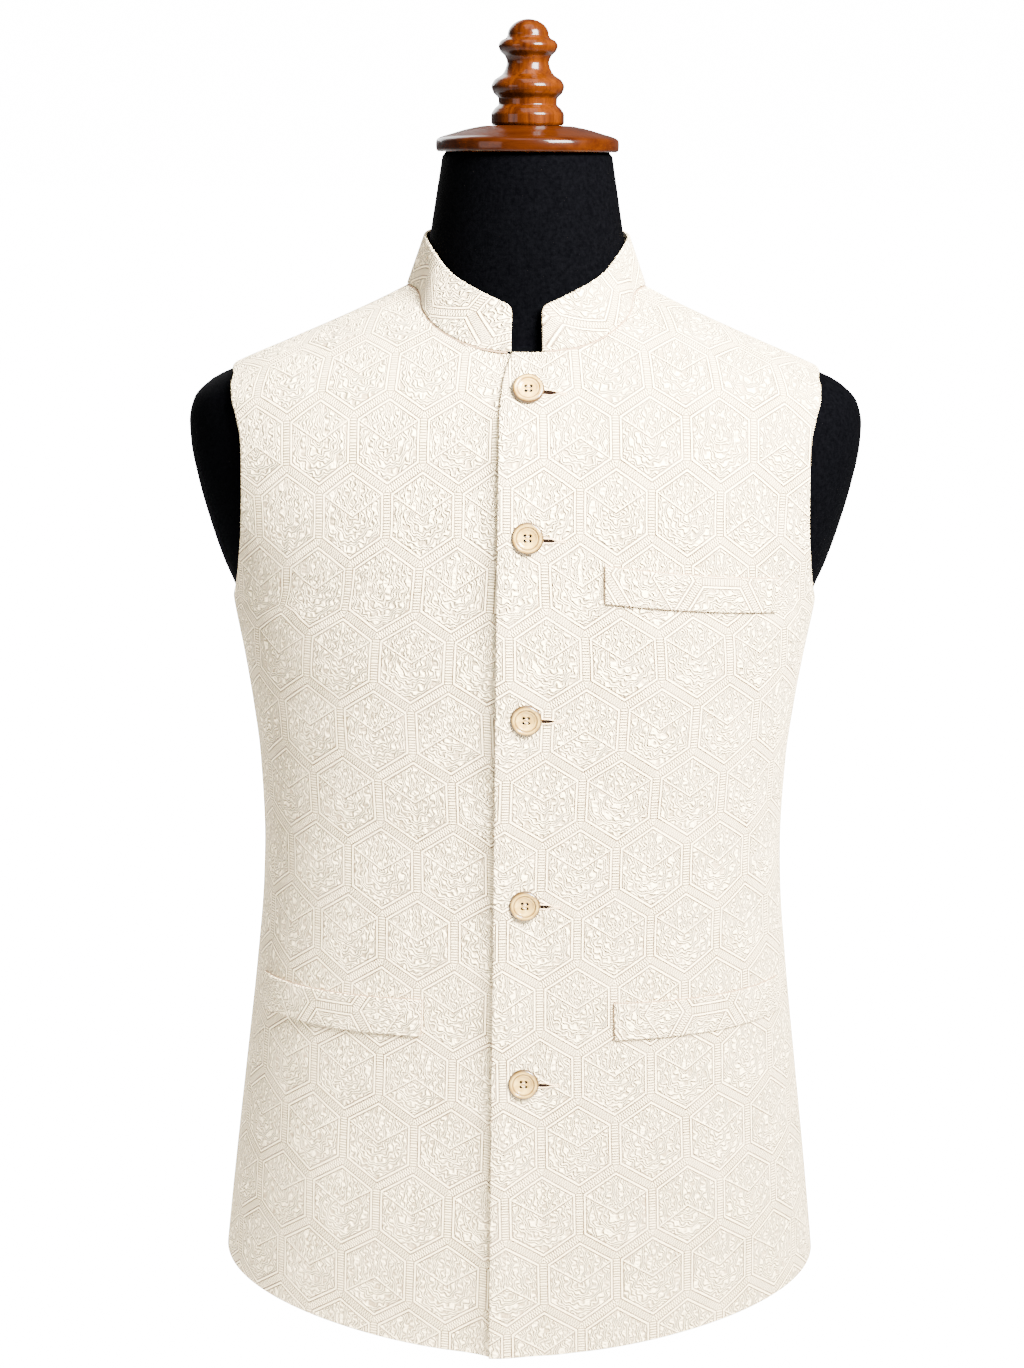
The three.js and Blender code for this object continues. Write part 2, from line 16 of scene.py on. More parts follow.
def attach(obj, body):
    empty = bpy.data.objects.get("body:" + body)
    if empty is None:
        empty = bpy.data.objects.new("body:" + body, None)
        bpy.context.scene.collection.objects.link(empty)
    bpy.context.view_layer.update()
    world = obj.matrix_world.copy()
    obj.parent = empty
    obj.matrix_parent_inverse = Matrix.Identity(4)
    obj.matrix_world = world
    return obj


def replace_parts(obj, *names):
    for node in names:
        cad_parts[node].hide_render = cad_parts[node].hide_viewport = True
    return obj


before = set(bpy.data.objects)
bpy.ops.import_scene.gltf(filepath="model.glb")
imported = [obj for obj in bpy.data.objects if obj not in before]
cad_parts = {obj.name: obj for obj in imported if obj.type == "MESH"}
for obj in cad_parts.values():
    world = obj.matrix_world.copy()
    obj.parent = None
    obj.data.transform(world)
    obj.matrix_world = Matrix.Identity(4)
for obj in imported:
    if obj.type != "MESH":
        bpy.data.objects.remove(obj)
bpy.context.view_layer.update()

MM = 0.001
QUARTER = math.pi / 2
print("frame loaded with", len(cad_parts), "nodes")

# %% [markdown]
# ## The camera
# A photograph fixes where the eye was. The neck cap shows its top and the hem curves down, so the eye is
# high and looks slightly down. Height, distance and pitch come from the sizes of the cap and the hem in the
# picture. The alternative, moving the object to fit a level camera, would tilt the whole part.

# %% Camera
CAMERA_PLACE = (-0.0085, -1.75, 0.861)
CAMERA_PITCH = math.radians(12.35)
CAMERA_ROLL = math.radians(0.36)

camera_data = bpy.data.cameras.new("camera")
camera_data.sensor_width = 36
camera_data.lens = 63.95
camera_data.clip_start = 0.05
camera_data.clip_end = 100
camera = bpy.data.objects.new("camera", camera_data)
bpy.context.scene.collection.objects.link(camera)
turn_down = Matrix.Rotation(QUARTER - CAMERA_PITCH, 4, "X")
lean = Matrix.Rotation(CAMERA_ROLL, 4, "Z")
camera.matrix_world = Matrix.Translation(CAMERA_PLACE) @ turn_down @ lean
bpy.context.scene.camera = camera
print("camera lens", camera_data.lens, "mm")

# %% [markdown]
# ## Curves through a table
# A garment is measured at a few heights, and the cloth runs smoothly between them. A monotone cubic passes
# through every row and never swings past one. A plain cubic would make waves, and straight lines would
# crease.

# %% Curves and small helpers
def lerp(a, b, share):
    """a + (b - a) * share."""
    return a + (b - a) * share


def smoothstep(x, low, high):
    """0 below low, 1 above high, and t * t * (3 - 2 t) between them."""
    t = np.clip((x - low) / (high - low), 0, 1)
    return t * t * (3 - 2 * t)


def through(at, rows, values):
    """Cubic pieces whose slope at each row is the harmonic mean of the slopes beside it, or 0 at a turn."""
    rows = np.asarray(rows, float)
    values = np.asarray(values, float)
    slope = np.diff(values) / np.diff(rows)
    before = np.concatenate([slope[:1], slope])
    after = np.concatenate([slope, slope[-1:]])
    same = before * after > 0
    total = np.where(same, before + after, 1)
    tangent = np.where(same, 2 * before * after / total, 0)
    here = np.clip(at, rows[0], rows[-1])
    i = np.clip(np.searchsorted(rows, here, side="right") - 1, 0, len(slope) - 1)
    width = rows[i + 1] - rows[i]
    t = (here - rows[i]) / width
    bend = t * (1 - t) * width
    ease = t * t * (3 - 2 * t)
    middle = lerp(values[i], values[i + 1], ease)
    return middle + bend * ((1 - t) * tangent[i] - t * tangent[i + 1])


def read(table, at, *columns):
    """The wanted columns of a table at these places of its first column."""
    return [through(at, table[:, 0], table[:, k]) for k in columns]


def unit(vectors):
    """Each vector divided by its length."""
    return vectors / np.linalg.norm(vectors, axis=-1, keepdims=True)


def running_length(points, axis):
    """Distance walked along the grid from its first row or column, as the sum of the steps."""
    steps = np.linalg.norm(np.diff(points, axis=axis), axis=-1)
    start = np.zeros_like(np.take(steps, [0], axis=axis))
    return np.concatenate([start, np.cumsum(steps, axis=axis)], axis=axis)


print("half way up a step of 0, 1, 4:", through(0.5, [0, 1, 2], [0, 1, 4]))

# %% [markdown]
# ## From a grid to a mesh
# Every surface here is a grid of points worked out as one array. The helper joins the grid's cells, welds
# points that lie on each other, so that rims and poles are closed, and keeps the flat cloth position as a
# UV map.

# %% Mesh helpers
def cells(rows, columns, start=0):
    """Four corners of each cell of a grid, counterclockwise where columns run right and rows run up."""
    number = start + np.arange(rows * columns).reshape(rows, columns)
    corners = [number[:-1, :-1], number[:-1, 1:], number[1:, 1:], number[1:, :-1]]
    return np.stack(corners, axis=-1).reshape(-1, 4)


def make_piece(name, points, quads, material, flat=None):
    """Splits each cell in two triangles, drops those that welding closes, and makes a smooth object."""
    triangles = np.concatenate([quads[:, [0, 1, 2]], quads[:, [0, 2, 3]]])
    places, weld = np.unique(np.round(points, 4), axis=0, return_inverse=True)
    welded = weld.reshape(-1)[triangles]
    a, b, c = welded.T
    real = (a != b) & (b != c) & (c != a)
    mesh = bpy.data.meshes.new(name)
    mesh.from_pydata(places * MM, [], welded[real])
    mesh.polygons.foreach_set("use_smooth", np.ones(real.sum(), bool))
    if flat is not None:
        layer = mesh.uv_layers.new(name="cloth")
        layer.data.foreach_set("uv", (flat[triangles[real]] * MM).ravel())
    mesh.materials.append(material)
    mesh.update()
    piece = bpy.data.objects.new(name, mesh)
    bpy.context.scene.collection.objects.link(piece)
    print(name, int(real.sum()), "triangles")
    return piece


def stand_in(piece, slot, *nodes):
    """The piece takes the place of its CAD nodes and rides on the one body."""
    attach(piece, "root")
    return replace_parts(piece, *nodes)


# %% [markdown]
# ## The garment's measures
# Level rings give the width at the side seams and the depth in front and behind. A superellipse with a
# power a little above 2 is the usual section of a chest: fuller at the corners than an ellipse.

# %% Rings and edges
# height, side, front, back, power
CLOTH_RINGS = np.array([
    [0, 229.5, 149, 134, 2.05],
    [36, 225.8, 146.5, 131, 2.08],
    [111, 217.4, 140.5, 124, 2.15],
    [192, 207.7, 133.5, 116, 2.2],
    [272, 198.3, 127.5, 109.5, 2.25],
    [331, 192.9, 124.5, 106.5, 2.25],
    [370, 191.6, 124.5, 106.5, 2.25],
    [428, 193.9, 126.5, 110, 2.25],
    [466, 198.2, 128.5, 113.5, 2.25],
    [504, 204, 130.5, 117.5, 2.25],
    [541, 210.8, 131.5, 121.5, 2.25],
    [549, 212, 131.4, 122, 2.22],
    [564, 215.5, 131, 123, 2.18],
    [590, 225.5, 129.7, 124, 2.14],
    [622, 237.5, 126.7, 123.4, 2.07],
    [658, 245.3, 118.5, 119.5, 2.02],
    [673, 246, 113.5, 116, 2],
    [688, 243, 107, 112, 2],
    [700, 232, 100.5, 108, 2],
    [708, 218, 95.5, 104.8, 2],
    [715.5, 202.7, 90.5, 101, 2],
    [729.7, 169.5, 80.5, 94, 2],
    [743.9, 136.7, 68.3, 86, 2],
    [753, 116.5, 57.7, 80, 2],
    [760, 101.7, 45.5, 75.8, 2],
    [767, 87.8, 31.5, 72, 2],
    [776, 69, 15, 67, 2],
    [790, 45, 8, 50, 2],
])
# height, depth of the front edge, depth of the back edge
ARMHOLE = np.array([
    [541, 0, 0],
    [549, -25, 26],
    [564, -46, 47],
    [590, -64, 64],
    [622, -72, 70],
    [660, -70, 68],
    [689, -57, 56],
    [707, -33, 33],
    [713.5, 0, 0],
])
# height, distance from the middle
LAP_EDGE = np.array([
    [0, -21.8],
    [350, -20.4],
    [592, -19],
    [684, -18.2],
    [706, -16.4],
    [717, -13.8],
    [727, -9.8],
])
UNDERLAP_EDGE = np.array([[0, -17], [727, -13]])
HEM_FRONT = 16.3
HEM_SIDE = 39
UNDERARM = 541
NECK_FRONT = 727
NECK_SIDE = 768.5
NECK_BACK = 775
SEAM_GAP = 0.3
CLOTH = 2
LAP_LIFT = 1.6
UNDERLAP_LIFT = -1.2
# distance from the middle at which the lap's lift starts to fade, and at which it has gone
LAP_FADE = (20, 42)
print("the waist ring is", 2 * CLOTH_RINGS[:, 1].min(), "mm wide")

# %% [markdown]
# ## The cloth as a surface
# Two numbers name every place of the cloth: the turn round the body, from 0 in front to the wearer's left,
# and the height. The normal is found from two small steps, so a fold or a lap can lift the cloth straight
# out.

# %% Places on the cloth
def ring_radius(rings, turn, z):
    """((|sin| / side)^n + (|cos| / depth)^n)^(-1/n), the polar form of a superellipse."""
    side, front, back, power = read(rings, z, 1, 2, 3, 4)
    depth = np.where(np.cos(turn) > 0, front, back)
    across = np.abs(np.sin(turn)) / side
    along = np.abs(np.cos(turn)) / depth
    return (across**power + along**power) ** (-1 / power)


def around(radius, turn, z):
    """x = r sin, y = -r cos, so that turn 0 faces the camera."""
    return np.stack(np.broadcast_arrays(radius * np.sin(turn), -radius * np.cos(turn), z), axis=-1)


def cloth_point(turn, z):
    return around(ring_radius(CLOTH_RINGS, turn, z), turn, z)


def cloth_normal(turn, z):
    """The cross product of a small step round and a small step up."""
    step_round = cloth_point(turn + 1e-3, z) - cloth_point(turn - 1e-3, z)
    step_up = cloth_point(turn, z + 0.5) - cloth_point(turn, z - 0.5)
    return unit(np.cross(step_round, step_up))


def turn_at_width(x, z):
    """The turn at which the front of the ring is x from the middle."""
    side, front, power = read(CLOTH_RINGS, z, 1, 2, 4)
    share = np.minimum(np.abs(x) / side, 1)
    return np.arctan2(x, front * (1 - share**power) ** (1 / power))


def turn_at_depth(y, z):
    """The turn at which the left side of the ring is y deep."""
    side, front, back, power = read(CLOTH_RINGS, z, 1, 2, 3, 4)
    share = np.abs(y) / np.where(y < 0, front, back)
    return np.arctan2(side * (1 - share**power) ** (1 / power), -y)


def hem_height(turn):
    return lerp(HEM_SIDE, HEM_FRONT, np.maximum(np.cos(turn), 0) ** 1.5)


def neckline_height(turn):
    sine = np.abs(np.sin(turn))
    front = lerp(NECK_FRONT, NECK_SIDE, sine**2.8)
    back = lerp(NECK_BACK, NECK_SIDE, sine**2)
    return np.where(np.cos(turn) > 0, front, back)


def lap_share(x):
    """1 at the edge of the front, 0 where the lift has died away."""
    return 1 - smoothstep(x, *LAP_FADE)


print("waist front at", cloth_point(np.array(0.0), np.array(370.0)).round(1), "mm")

# %% [markdown]
# ## How a panel is cut
# A pattern cutter draws a panel by its edges. Here the rows of a panel run from its inner edge to its outer
# edge: level rows in the skirt, then rows from the front edge to the armhole, then rows from the neckline
# to the shoulder tip. The row number goes from 0 at the hem to 1 at the underarm, 2 at the neck and 3 at
# the shoulder.

# %% Panel grids
def armhole_places(share, column):
    """A Catmull-Rom curve through the armhole's rows, walked by its length."""
    rows = ARMHOLE[:, [column, 0]]
    p = np.concatenate([rows[:1], rows, rows[-1:]])
    at = np.linspace(0, len(rows) - 1, 401)
    i = np.minimum(at.astype(int), len(rows) - 2)
    t = (at - i)[:, None]
    start = (p[i + 2] - p[i]) / 2
    end = (p[i + 3] - p[i + 1]) / 2
    gap = p[i + 2] - p[i + 1]
    curve = p[i + 1] + start * t + (3 * gap - 2 * start - end) * t**2 + (start + end - 2 * gap) * t**3
    length = running_length(curve[None], 1)[0]
    wanted = share * length[-1]
    return np.interp(wanted, length, curve[:, 0]), np.interp(wanted, length, curve[:, 1])


def panel_places(rows, across, inner_turn, neck_corner, front):
    """Turn and height of each grid point: the row's two ends, and a straight line between them."""
    half_gap = SEAM_GAP / 2 / read(CLOTH_RINGS, rows * 0 + NECK_SIDE, 1)[0]
    sign = -1 if front else 1
    skirt = np.minimum(rows, 1)
    level = lerp(HEM_SIDE, UNDERARM, skirt)
    upper = np.clip((rows - 1) / 2, 0, 1)
    depth, arm_z = armhole_places(upper, 1 if front else 2)
    arm_turn = turn_at_depth(depth, arm_z)
    corner_z = neckline_height(np.array(neck_corner))
    chest_z = lerp(UNDERARM, corner_z, np.clip(rows - 1, 0, 1))
    neck_turn = lerp(neck_corner, QUARTER + sign * half_gap, np.clip(rows - 2, 0, 1))
    in_skirt = rows <= 1
    in_chest = rows <= 2
    inner_z = np.where(in_skirt, level, np.where(in_chest, chest_z, neckline_height(neck_turn)))
    inner = np.where(in_chest, inner_turn(inner_z), neck_turn)
    outer_z = np.where(in_skirt, level, arm_z)
    seam = sign * SEAM_GAP / 2 / read(CLOTH_RINGS, outer_z, 1)[0]
    outer = np.where(in_skirt, QUARTER, arm_turn) + seam
    turn = lerp(inner[:, None], outer[:, None], across)
    sloped_z = lerp(inner_z[:, None], outer_z[:, None], across)
    skirt_z = lerp(hem_height(turn), UNDERARM, skirt[:, None])
    return turn, np.where(in_skirt[:, None], skirt_z, sloped_z)


RIM_STEPS = np.array([0, 0.1, 0.35, 0.8, 1.4])


def with_rims(count, width):
    """Even shares from 0 to 1, with closer ones at both ends, where the edge of the cloth is rolled."""
    near = RIM_STEPS / np.asarray(width, float)[..., None]
    last = near[..., -1:]
    even = lerp(last, 1 - last, np.linspace(0, 1, count + 1)[1:-1])
    return np.concatenate([near, even, 1 - near[..., ::-1]], axis=-1)


print("a rim of", RIM_STEPS[-1], "mm is cut in", len(RIM_STEPS) - 1, "steps")

# %% [markdown]
# ## Laying a panel flat
# The jacquard is woven before it is cut, so the pattern lies on the flat panel. Springs along the rows,
# columns and diagonals of a coarse grid pull it flat while they keep their worn length. A projection from
# the front would be simpler, but it stretches the hexagons at the sides and on the shoulders.

# %% Flat cuts
def arc_from_middle(turn, z, middle):
    """Length of the level line from the middle turn to this one, summed over 40 steps."""
    shares = np.linspace(0, 1, 41)[:, None, None]
    line = cloth_point(lerp(middle, turn, shares), z[None])
    return np.linalg.norm(np.diff(line, axis=0), axis=-1).sum(axis=0) * np.sign(turn - middle)


def arc_from_underarm(turn, z):
    """Length of the upright line from the underarm's height to this one, summed over 40 steps."""
    shares = np.linspace(0, 1, 41)[:, None, None]
    line = cloth_point(turn[None], lerp(UNDERARM, z, shares))
    return np.linalg.norm(np.diff(line, axis=0), axis=-1).sum(axis=0) * np.sign(z - UNDERARM)


def relax(flat, points, rounds):
    """Each round moves both ends of every spring a share of the way to its worn length."""
    rows, columns = flat.shape[:2]
    whole = slice(None)
    low, high = slice(0, -1), slice(1, None)
    springs = [
        ((whole, low), (whole, high)),
        ((low, whole), (high, whole)),
        ((low, low), (high, high)),
        ((low, high), (high, low)),
    ]
    rest = [np.linalg.norm(points[b] - points[a], axis=-1) for a, b in springs]
    for _ in range(rounds):
        move = np.zeros_like(flat)
        for (a, b), length in zip(springs, rest):
            gap = flat[b] - flat[a]
            now = np.linalg.norm(gap, axis=-1)
            pull = gap * ((now - length) / np.maximum(now, 1e-6))[..., None]
            move[a] += pull
            move[b] -= pull
        flat = flat + move * SPRING_PULL
    return flat


def between(grid, rows, columns):
    """Reads a grid at fractional rows and columns, by weights of the four points around."""
    i = np.clip(rows.astype(int), 0, grid.shape[0] - 2)
    j = np.clip(columns.astype(int), 0, grid.shape[1] - 2)
    s = (rows - i)[..., None]
    t = (columns - j)[..., None]
    low = lerp(grid[i, j], grid[i, j + 1], t)
    high = lerp(grid[i + 1, j], grid[i + 1, j + 1], t)
    return lerp(low, high, s)


FLAT_COLUMNS = 12
FLAT_ROWS_A_THIRD = 12
SPRING_ROUNDS = 1500
SPRING_PULL = 0.18


def flat_cut(inner_turn, neck_corner, front, middle):
    """Two rounds of springs, on a coarse grid and on one twice as fine. Returns the grid of flat places."""
    flat = None
    for fine in (1, 2):
        rows = np.linspace(0, 3, 3 * FLAT_ROWS_A_THIRD * fine + 1)
        across = np.linspace(0, 1, FLAT_COLUMNS * fine + 1)[None]
        turn, z = panel_places(rows, across, inner_turn, neck_corner, front)
        points = cloth_point(turn, z)
        if flat is None:
            flat = np.stack([arc_from_middle(turn, z, middle), arc_from_underarm(turn, z)], axis=-1)
            hem_corner = flat[0, 0].copy()
            front_line = flat[FLAT_ROWS_A_THIRD, 0] - hem_corner
        else:
            at_row = rows[:, None] * FLAT_ROWS_A_THIRD + 0 * across
            at_column = across * FLAT_COLUMNS + 0 * rows[:, None]
            flat = between(flat, at_row, at_column)
        flat = relax(flat, points, SPRING_ROUNDS // fine)
    edge = flat[FLAT_ROWS_A_THIRD * 2, 0] - flat[0, 0]
    angle = math.atan2(front_line[1], front_line[0]) - math.atan2(edge[1], edge[0])
    turned = np.array([[math.cos(angle), math.sin(angle)], [-math.sin(angle), math.cos(angle)]])
    return (flat - flat[0, 0]) @ turned + hem_corner


CHEST_EASE = 0.923
CHEST_SHIFT = 7.0


def pattern_place(flat, start, shift=0.0):
    """The woven pattern at a flat place, from the middle of one hexagon. It is eased in over the chest."""
    u, v = flat[..., 0], flat[..., 1]
    u = lerp(u, (u + shift) / CHEST_EASE, smoothstep(v, -60, 90))
    return np.stack([u - start[0], v - start[1]], axis=-1).reshape(-1, 2)


def cut_size(flat):
    """Width, length and area of a flat grid, in metres, the area by the shoelace sum over its cells."""
    a, b, c, d = flat[:-1, :-1], flat[:-1, 1:], flat[1:, 1:], flat[1:, :-1]
    one, two = c - a, d - b
    area = np.abs(one[..., 0] * two[..., 1] - one[..., 1] * two[..., 0]).sum() / 2
    width, length = np.ptp(flat.reshape(-1, 2), axis=0)
    return width * MM, length * MM, area * MM * MM


print("springs and cutting table are ready")

# %% [markdown]
# ## Creases
# Worn cloth is never a clean shell. It pulls from the buttons, sinks at the waist and ripples under the
# arm. Each crease is a soft trough or ridge along a short line, with its own length, width and depth. The
# same lift is used for all that lies on the cloth, so that buttons, welts and overlapping edges stay
# together.

# %% Creases
# start x, start z, end x, end z, width, lift
FRONT_CREASES = np.array([
    [-30, 690, -95, 722, 9, -0.5],
    [-60, 640, -150, 668, 14, -1.1],
    [70, 668, 160, 650, 16, 0.9],
    [-45, 560, -150, 585, 20, 1.1],
    [110, 520, 185, 470, 16, -1.4],
    [-105, 500, -185, 455, 15, -1.6],
    [30, 430, 150, 395, 20, -1.5],
    [-25, 405, -160, 372, 18, -1.8],
    [60, 352, 175, 336, 14, 1.3],
    [-40, 330, -120, 300, 17, 1.4],
    [25, 212, 95, 170, 16, -1.1],
    [-28, 196, -90, 120, 18, -1.5],
    [120, 190, 150, 60, 22, 1.9],
    [-125, 200, -160, 62, 20, 1.7],
    [70, 110, 82, 30, 16, -1.3],
    [-70, 96, -62, 26, 14, 1.2],
])
BACK_CREASES = np.array([
    [-10, 700, -110, 690, 12, -0.6],
    [40, 660, 130, 676, 14, 0.8],
    [-150, 560, -70, 540, 18, -1.3],
    [160, 545, 90, 505, 16, -1.2],
    [-130, 430, 20, 408, 20, -1.9],
    [-10, 385, 150, 398, 17, 1.5],
    [-120, 340, -30, 352, 14, 1.1],
    [100, 300, 30, 268, 18, -1.4],
    [-60, 220, -75, 60, 20, 1.8],
    [20, 200, 36, 50, 18, -1.7],
    [120, 180, 140, 56, 22, 1.6],
    [-140, 170, -150, 60, 16, -1.4],
])


CREASE_BOW = 6


def crease_lift(x, z, creases):
    """For each line: lift * exp(-(distance / width)^2) * (1 - (2 s - 1)^2)^2, with s along the line."""
    total = np.zeros(np.shape(x))
    for x0, z0, x1, z1, width, lift in creases:
        length = math.hypot(x1 - x0, z1 - z0)
        along_x, along_z = (x1 - x0) / length, (z1 - z0) / length
        s = ((x - x0) * along_x + (z - z0) * along_z) / length
        away = (x - x0) * along_z - (z - z0) * along_x
        bow = CREASE_BOW * np.sin(math.pi * np.clip(s, 0, 1))
        fade = np.clip(1 - (2 * s - 1) ** 2, 0, 1) ** 2
        total = total + lift * np.exp(-(((away - bow) / width) ** 2)) * fade
    return total


STAND_HEIGHT = 6.4
STAND_RISE = 22
STAND_FALL = 38
# depth at which creases start beside the side seams, and heights between which they fade below the neck
SIDE_FADE = (4, 40)
NECK_FADE = (672, 708)


def stand_lift(x, z):
    """The double cloth at the lap stands up: h ((x - edge) / rise + 1)^2 before its edge, less after."""
    past = x - read(LAP_EDGE, z, 1)[0]
    rise = np.clip(past / STAND_RISE + 1, 0, 1) ** 2
    fall = 1 - smoothstep(past, 0, STAND_FALL)
    return STAND_HEIGHT * np.where(past < 0, rise, fall)


def soft_lift(point):
    """The creases of front or back, let down to nothing towards the side seams and the neck."""
    x, y, z = np.moveaxis(point, -1, 0)
    front = crease_lift(x, z, FRONT_CREASES) + stand_lift(x, z)
    back = crease_lift(x, z, BACK_CREASES)
    near_side = smoothstep(np.abs(y), *SIDE_FADE)
    below_neck = 1 - smoothstep(z, *NECK_FADE)
    return np.where(y < 0, front, back) * near_side * below_neck


def on_cloth(turn, z, lift, side=1):
    """The cloth's point plus its normal times the wanted lift and the creases. Side -1 mirrors it."""
    point = cloth_point(turn, z)
    out = np.asarray(lift) + soft_lift(point * (side, 1, 1))
    return (point + cloth_normal(turn, z) * out[..., None]) * (side, 1, 1)


sample = crease_lift(*np.meshgrid(np.linspace(-200, 200, 81), np.linspace(30, 700, 135)), FRONT_CREASES)
print("front creases from", sample.min().round(2), "to", sample.max().round(2), "mm")

# %% [markdown]
# ## A thin shell with rolled edges
# Woven cloth turned under has a soft round edge. The shell has an outer and an inner side, and its half
# thickness goes to nothing at the rim as a quarter of a circle, so both sides meet there and the edge
# catches the light. A Solidify modifier would leave square edges that need a bevel.

# %% Shells
EDGE_ROUNDING = 1.0
SEAM_ROUNDING = 0.4


def rolled(distance, rounding):
    """sqrt(1 - (1 - d / r)^2), a quarter circle from 0 at the edge to 1 at the distance r."""
    return np.sqrt(1 - (1 - np.clip(distance / rounding, 0, 1)) ** 2)


def shell(place, thickness, turn_in, rim):
    """Two grids either side of the cloth's middle. place(depth) gives the grid that deep in the cloth."""
    middle = place(thickness / 2)
    out = (place(0) - middle) * rim[..., None]
    points = np.concatenate([(middle + out).reshape(-1, 3), (middle - out).reshape(-1, 3)])
    rows, columns = rim.shape
    outer = cells(rows, columns)
    inner = cells(rows, columns, rows * columns)[:, ::-1]
    if turn_in:
        outer, inner = outer[:, ::-1], inner[:, ::-1]
    return points, np.concatenate([outer, inner])


def edge_share(points, inner, outer, low, high):
    """The least of the four edges' rolled shares. A rounding of 0 leaves that edge open."""
    across = running_length(points, 1)
    up = running_length(points, 0)
    share = np.ones(across.shape)
    distances = (across, across[:, -1:] - across, up, up[-1:] - up)
    for distance, rounding in zip(distances, (inner, outer, low, high)):
        if np.any(rounding):
            rounded = rolled(distance, np.where(np.asarray(rounding) > 0, rounding, 1))
            share = np.minimum(share, np.where(np.asarray(rounding) > 0, rounded, 1))
    return share


print("edges are rounded by", EDGE_ROUNDING, "mm and seams by", SEAM_ROUNDING, "mm")

# %% [markdown]
# ## The jacquard
# The cloth is one colour. Its pattern is woven in relief: tall hexagons, each with a raised outline between
# two grooves, rungs in the lanes between them, folded-paper lines inside, and a fill of rings and rays that
# wander. The hexagons come from arithmetic on the flat cloth position: the nearer of two shifted
# rectangular grids gives the place inside a hexagon. The grooves and the other low places of the relief
# are painted darker, a painted shade, and the raised threads keep the cloth's pale colour. An image would
# be quicker to make, but it blurs close up and can't be changed.

# %% Material helpers
def new_material(name):
    material = bpy.data.materials.new(name)
    material.use_nodes = True
    material.node_tree.nodes.clear()
    return material, Nodes(material.node_tree)


class Nodes:
    """Adds shader nodes with few words. A socket or a number may be given for each input."""

    def __init__(self, tree):
        self.tree = tree

    def add(self, kind, inputs=(), **settings):
        node = self.tree.nodes.new(kind)
        for key, value in settings.items():
            setattr(node, key, value)
        for key, value in dict(inputs).items():
            socket = node.inputs[key]
            if isinstance(value, bpy.types.NodeSocket):
                self.tree.links.new(value, socket)
            else:
                socket.default_value = value
        return node

    def math(self, operation, *values):
        node = self.add("ShaderNodeMath", enumerate(values), operation=operation)
        return node.outputs[0]

    def plus(self, a, b):
        return self.math("ADD", a, b)

    def minus(self, a, b):
        return self.math("SUBTRACT", a, b)

    def times(self, a, b):
        return self.math("MULTIPLY", a, b)

    def over(self, a, b):
        return self.math("GREATER_THAN", a, b)

    def absolute(self, a):
        return self.math("ABSOLUTE", a)

    def here(self):
        """The place in the object's own frame."""
        return self.add("ShaderNodeTexCoord").outputs["Object"]

    def noise(self, place, scale, detail, more=(), **settings):
        inputs = {"Vector": place, "Scale": scale, "Detail": detail, **dict(more)}
        return self.add("ShaderNodeTexNoise", inputs, **settings).outputs[0]

    def spread(self, value, low, high, to_low=0, to_high=1):
        """A straight line from low, where it is to_low, to high, where it is to_high, and level past both."""
        inputs = {"Value": value, "From Min": low, "From Max": high, "To Min": to_low, "To Max": to_high}
        return self.add("ShaderNodeMapRange", inputs).outputs[0]

    def vector(self, operation, *values):
        node = self.add("ShaderNodeVectorMath", enumerate(values), operation=operation)
        return node.outputs["Value" if operation in ("LENGTH", "DOT_PRODUCT") else "Vector"]

    def line(self, distance, half_width, soft):
        """1 where the distance is under half_width, fading to 0 over soft."""
        inputs = {"Value": distance, "From Min": half_width + soft, "From Max": half_width}
        node = self.add("ShaderNodeMapRange", inputs, interpolation_type="SMOOTHSTEP")
        return node.outputs[0]

    def mix(self, share, first, second):
        """Colours, by a share from 0 to 1."""
        return self.add("ShaderNodeMix", {0: share, 6: first, 7: second}, data_type="RGBA").outputs[2]

    def choose(self, share, first, second):
        """Places, by a share from 0 to 1."""
        return self.add("ShaderNodeMix", {0: share, 4: first, 5: second}, data_type="VECTOR").outputs[1]

    def bump(self, height, distance, strength=1.0, normal=None):
        inputs = {"Height": height, "Distance": distance, "Strength": strength}
        if normal is not None:
            inputs["Normal"] = normal
        return self.add("ShaderNodeBump", inputs).outputs[0]

    def shade(self, **inputs):
        named = {key.replace("_", " "): value for key, value in inputs.items()}
        shader = self.add("ShaderNodeBsdfPrincipled", named)
        output = self.add("ShaderNodeOutputMaterial")
        self.tree.links.new(shader.outputs[0], output.inputs[0])
        return shader


print("material helpers are ready")

# %% Jacquard cloth
# metres on the flat cloth
HEXAGON_PITCH = 0.053
ROW_PITCH = 0.0504
LANE = 0.0076
LINE_HALF = 0.0004
FOLD_HALF = 0.0003
GROOVE_HALF = 0.0001
LINE_SOFT = 0.0004
GROOVE_PLACE = 0.00115
RELIEF_HEIGHT = 0.0017
RUNG_PERIOD = 0.0018
RING_PERIOD = 0.0025
RAY_PERIOD = 0.0023
# wander of the waves in radians, and the scale of the noise that drives it
RING_WANDER = 15
RING_NOISE = 210
RAY_WANDER = 14
RAY_NOISE = 240
# shares of the relief
OUTLINE_RISE = 0.8
FOLD_RISE = 0.9
GROOVE_DEPTH = 0.7
FILL_RISE = 0.52
RUNG_RISE = 0.32
RUNG_SINK = 0.55
# relief at which the painted shade of the low places is deepest, and at which it has gone
FULL_SHADE_RELIEF = -0.75
NO_SHADE_RELIEF = 0.2
# of all hexagons, those under the first share have no fold, and those over the second have it upside down
BARE_SHARE = 0.08
UPRIGHT_SHARE = 0.84
FOLD_SLOPE = 0.577
# the colour of the deepest painted shade, the cloth's own colour on raised threads, and a random tone for
# slubs
LOW_RELIEF_SHADE_COLOUR = (0.08, 0.034, 0.010, 1)
RIDGE_COLOUR = (0.97, 0.795, 0.465, 1)
SHADE_COLOUR = (0.80, 0.62, 0.40, 1)


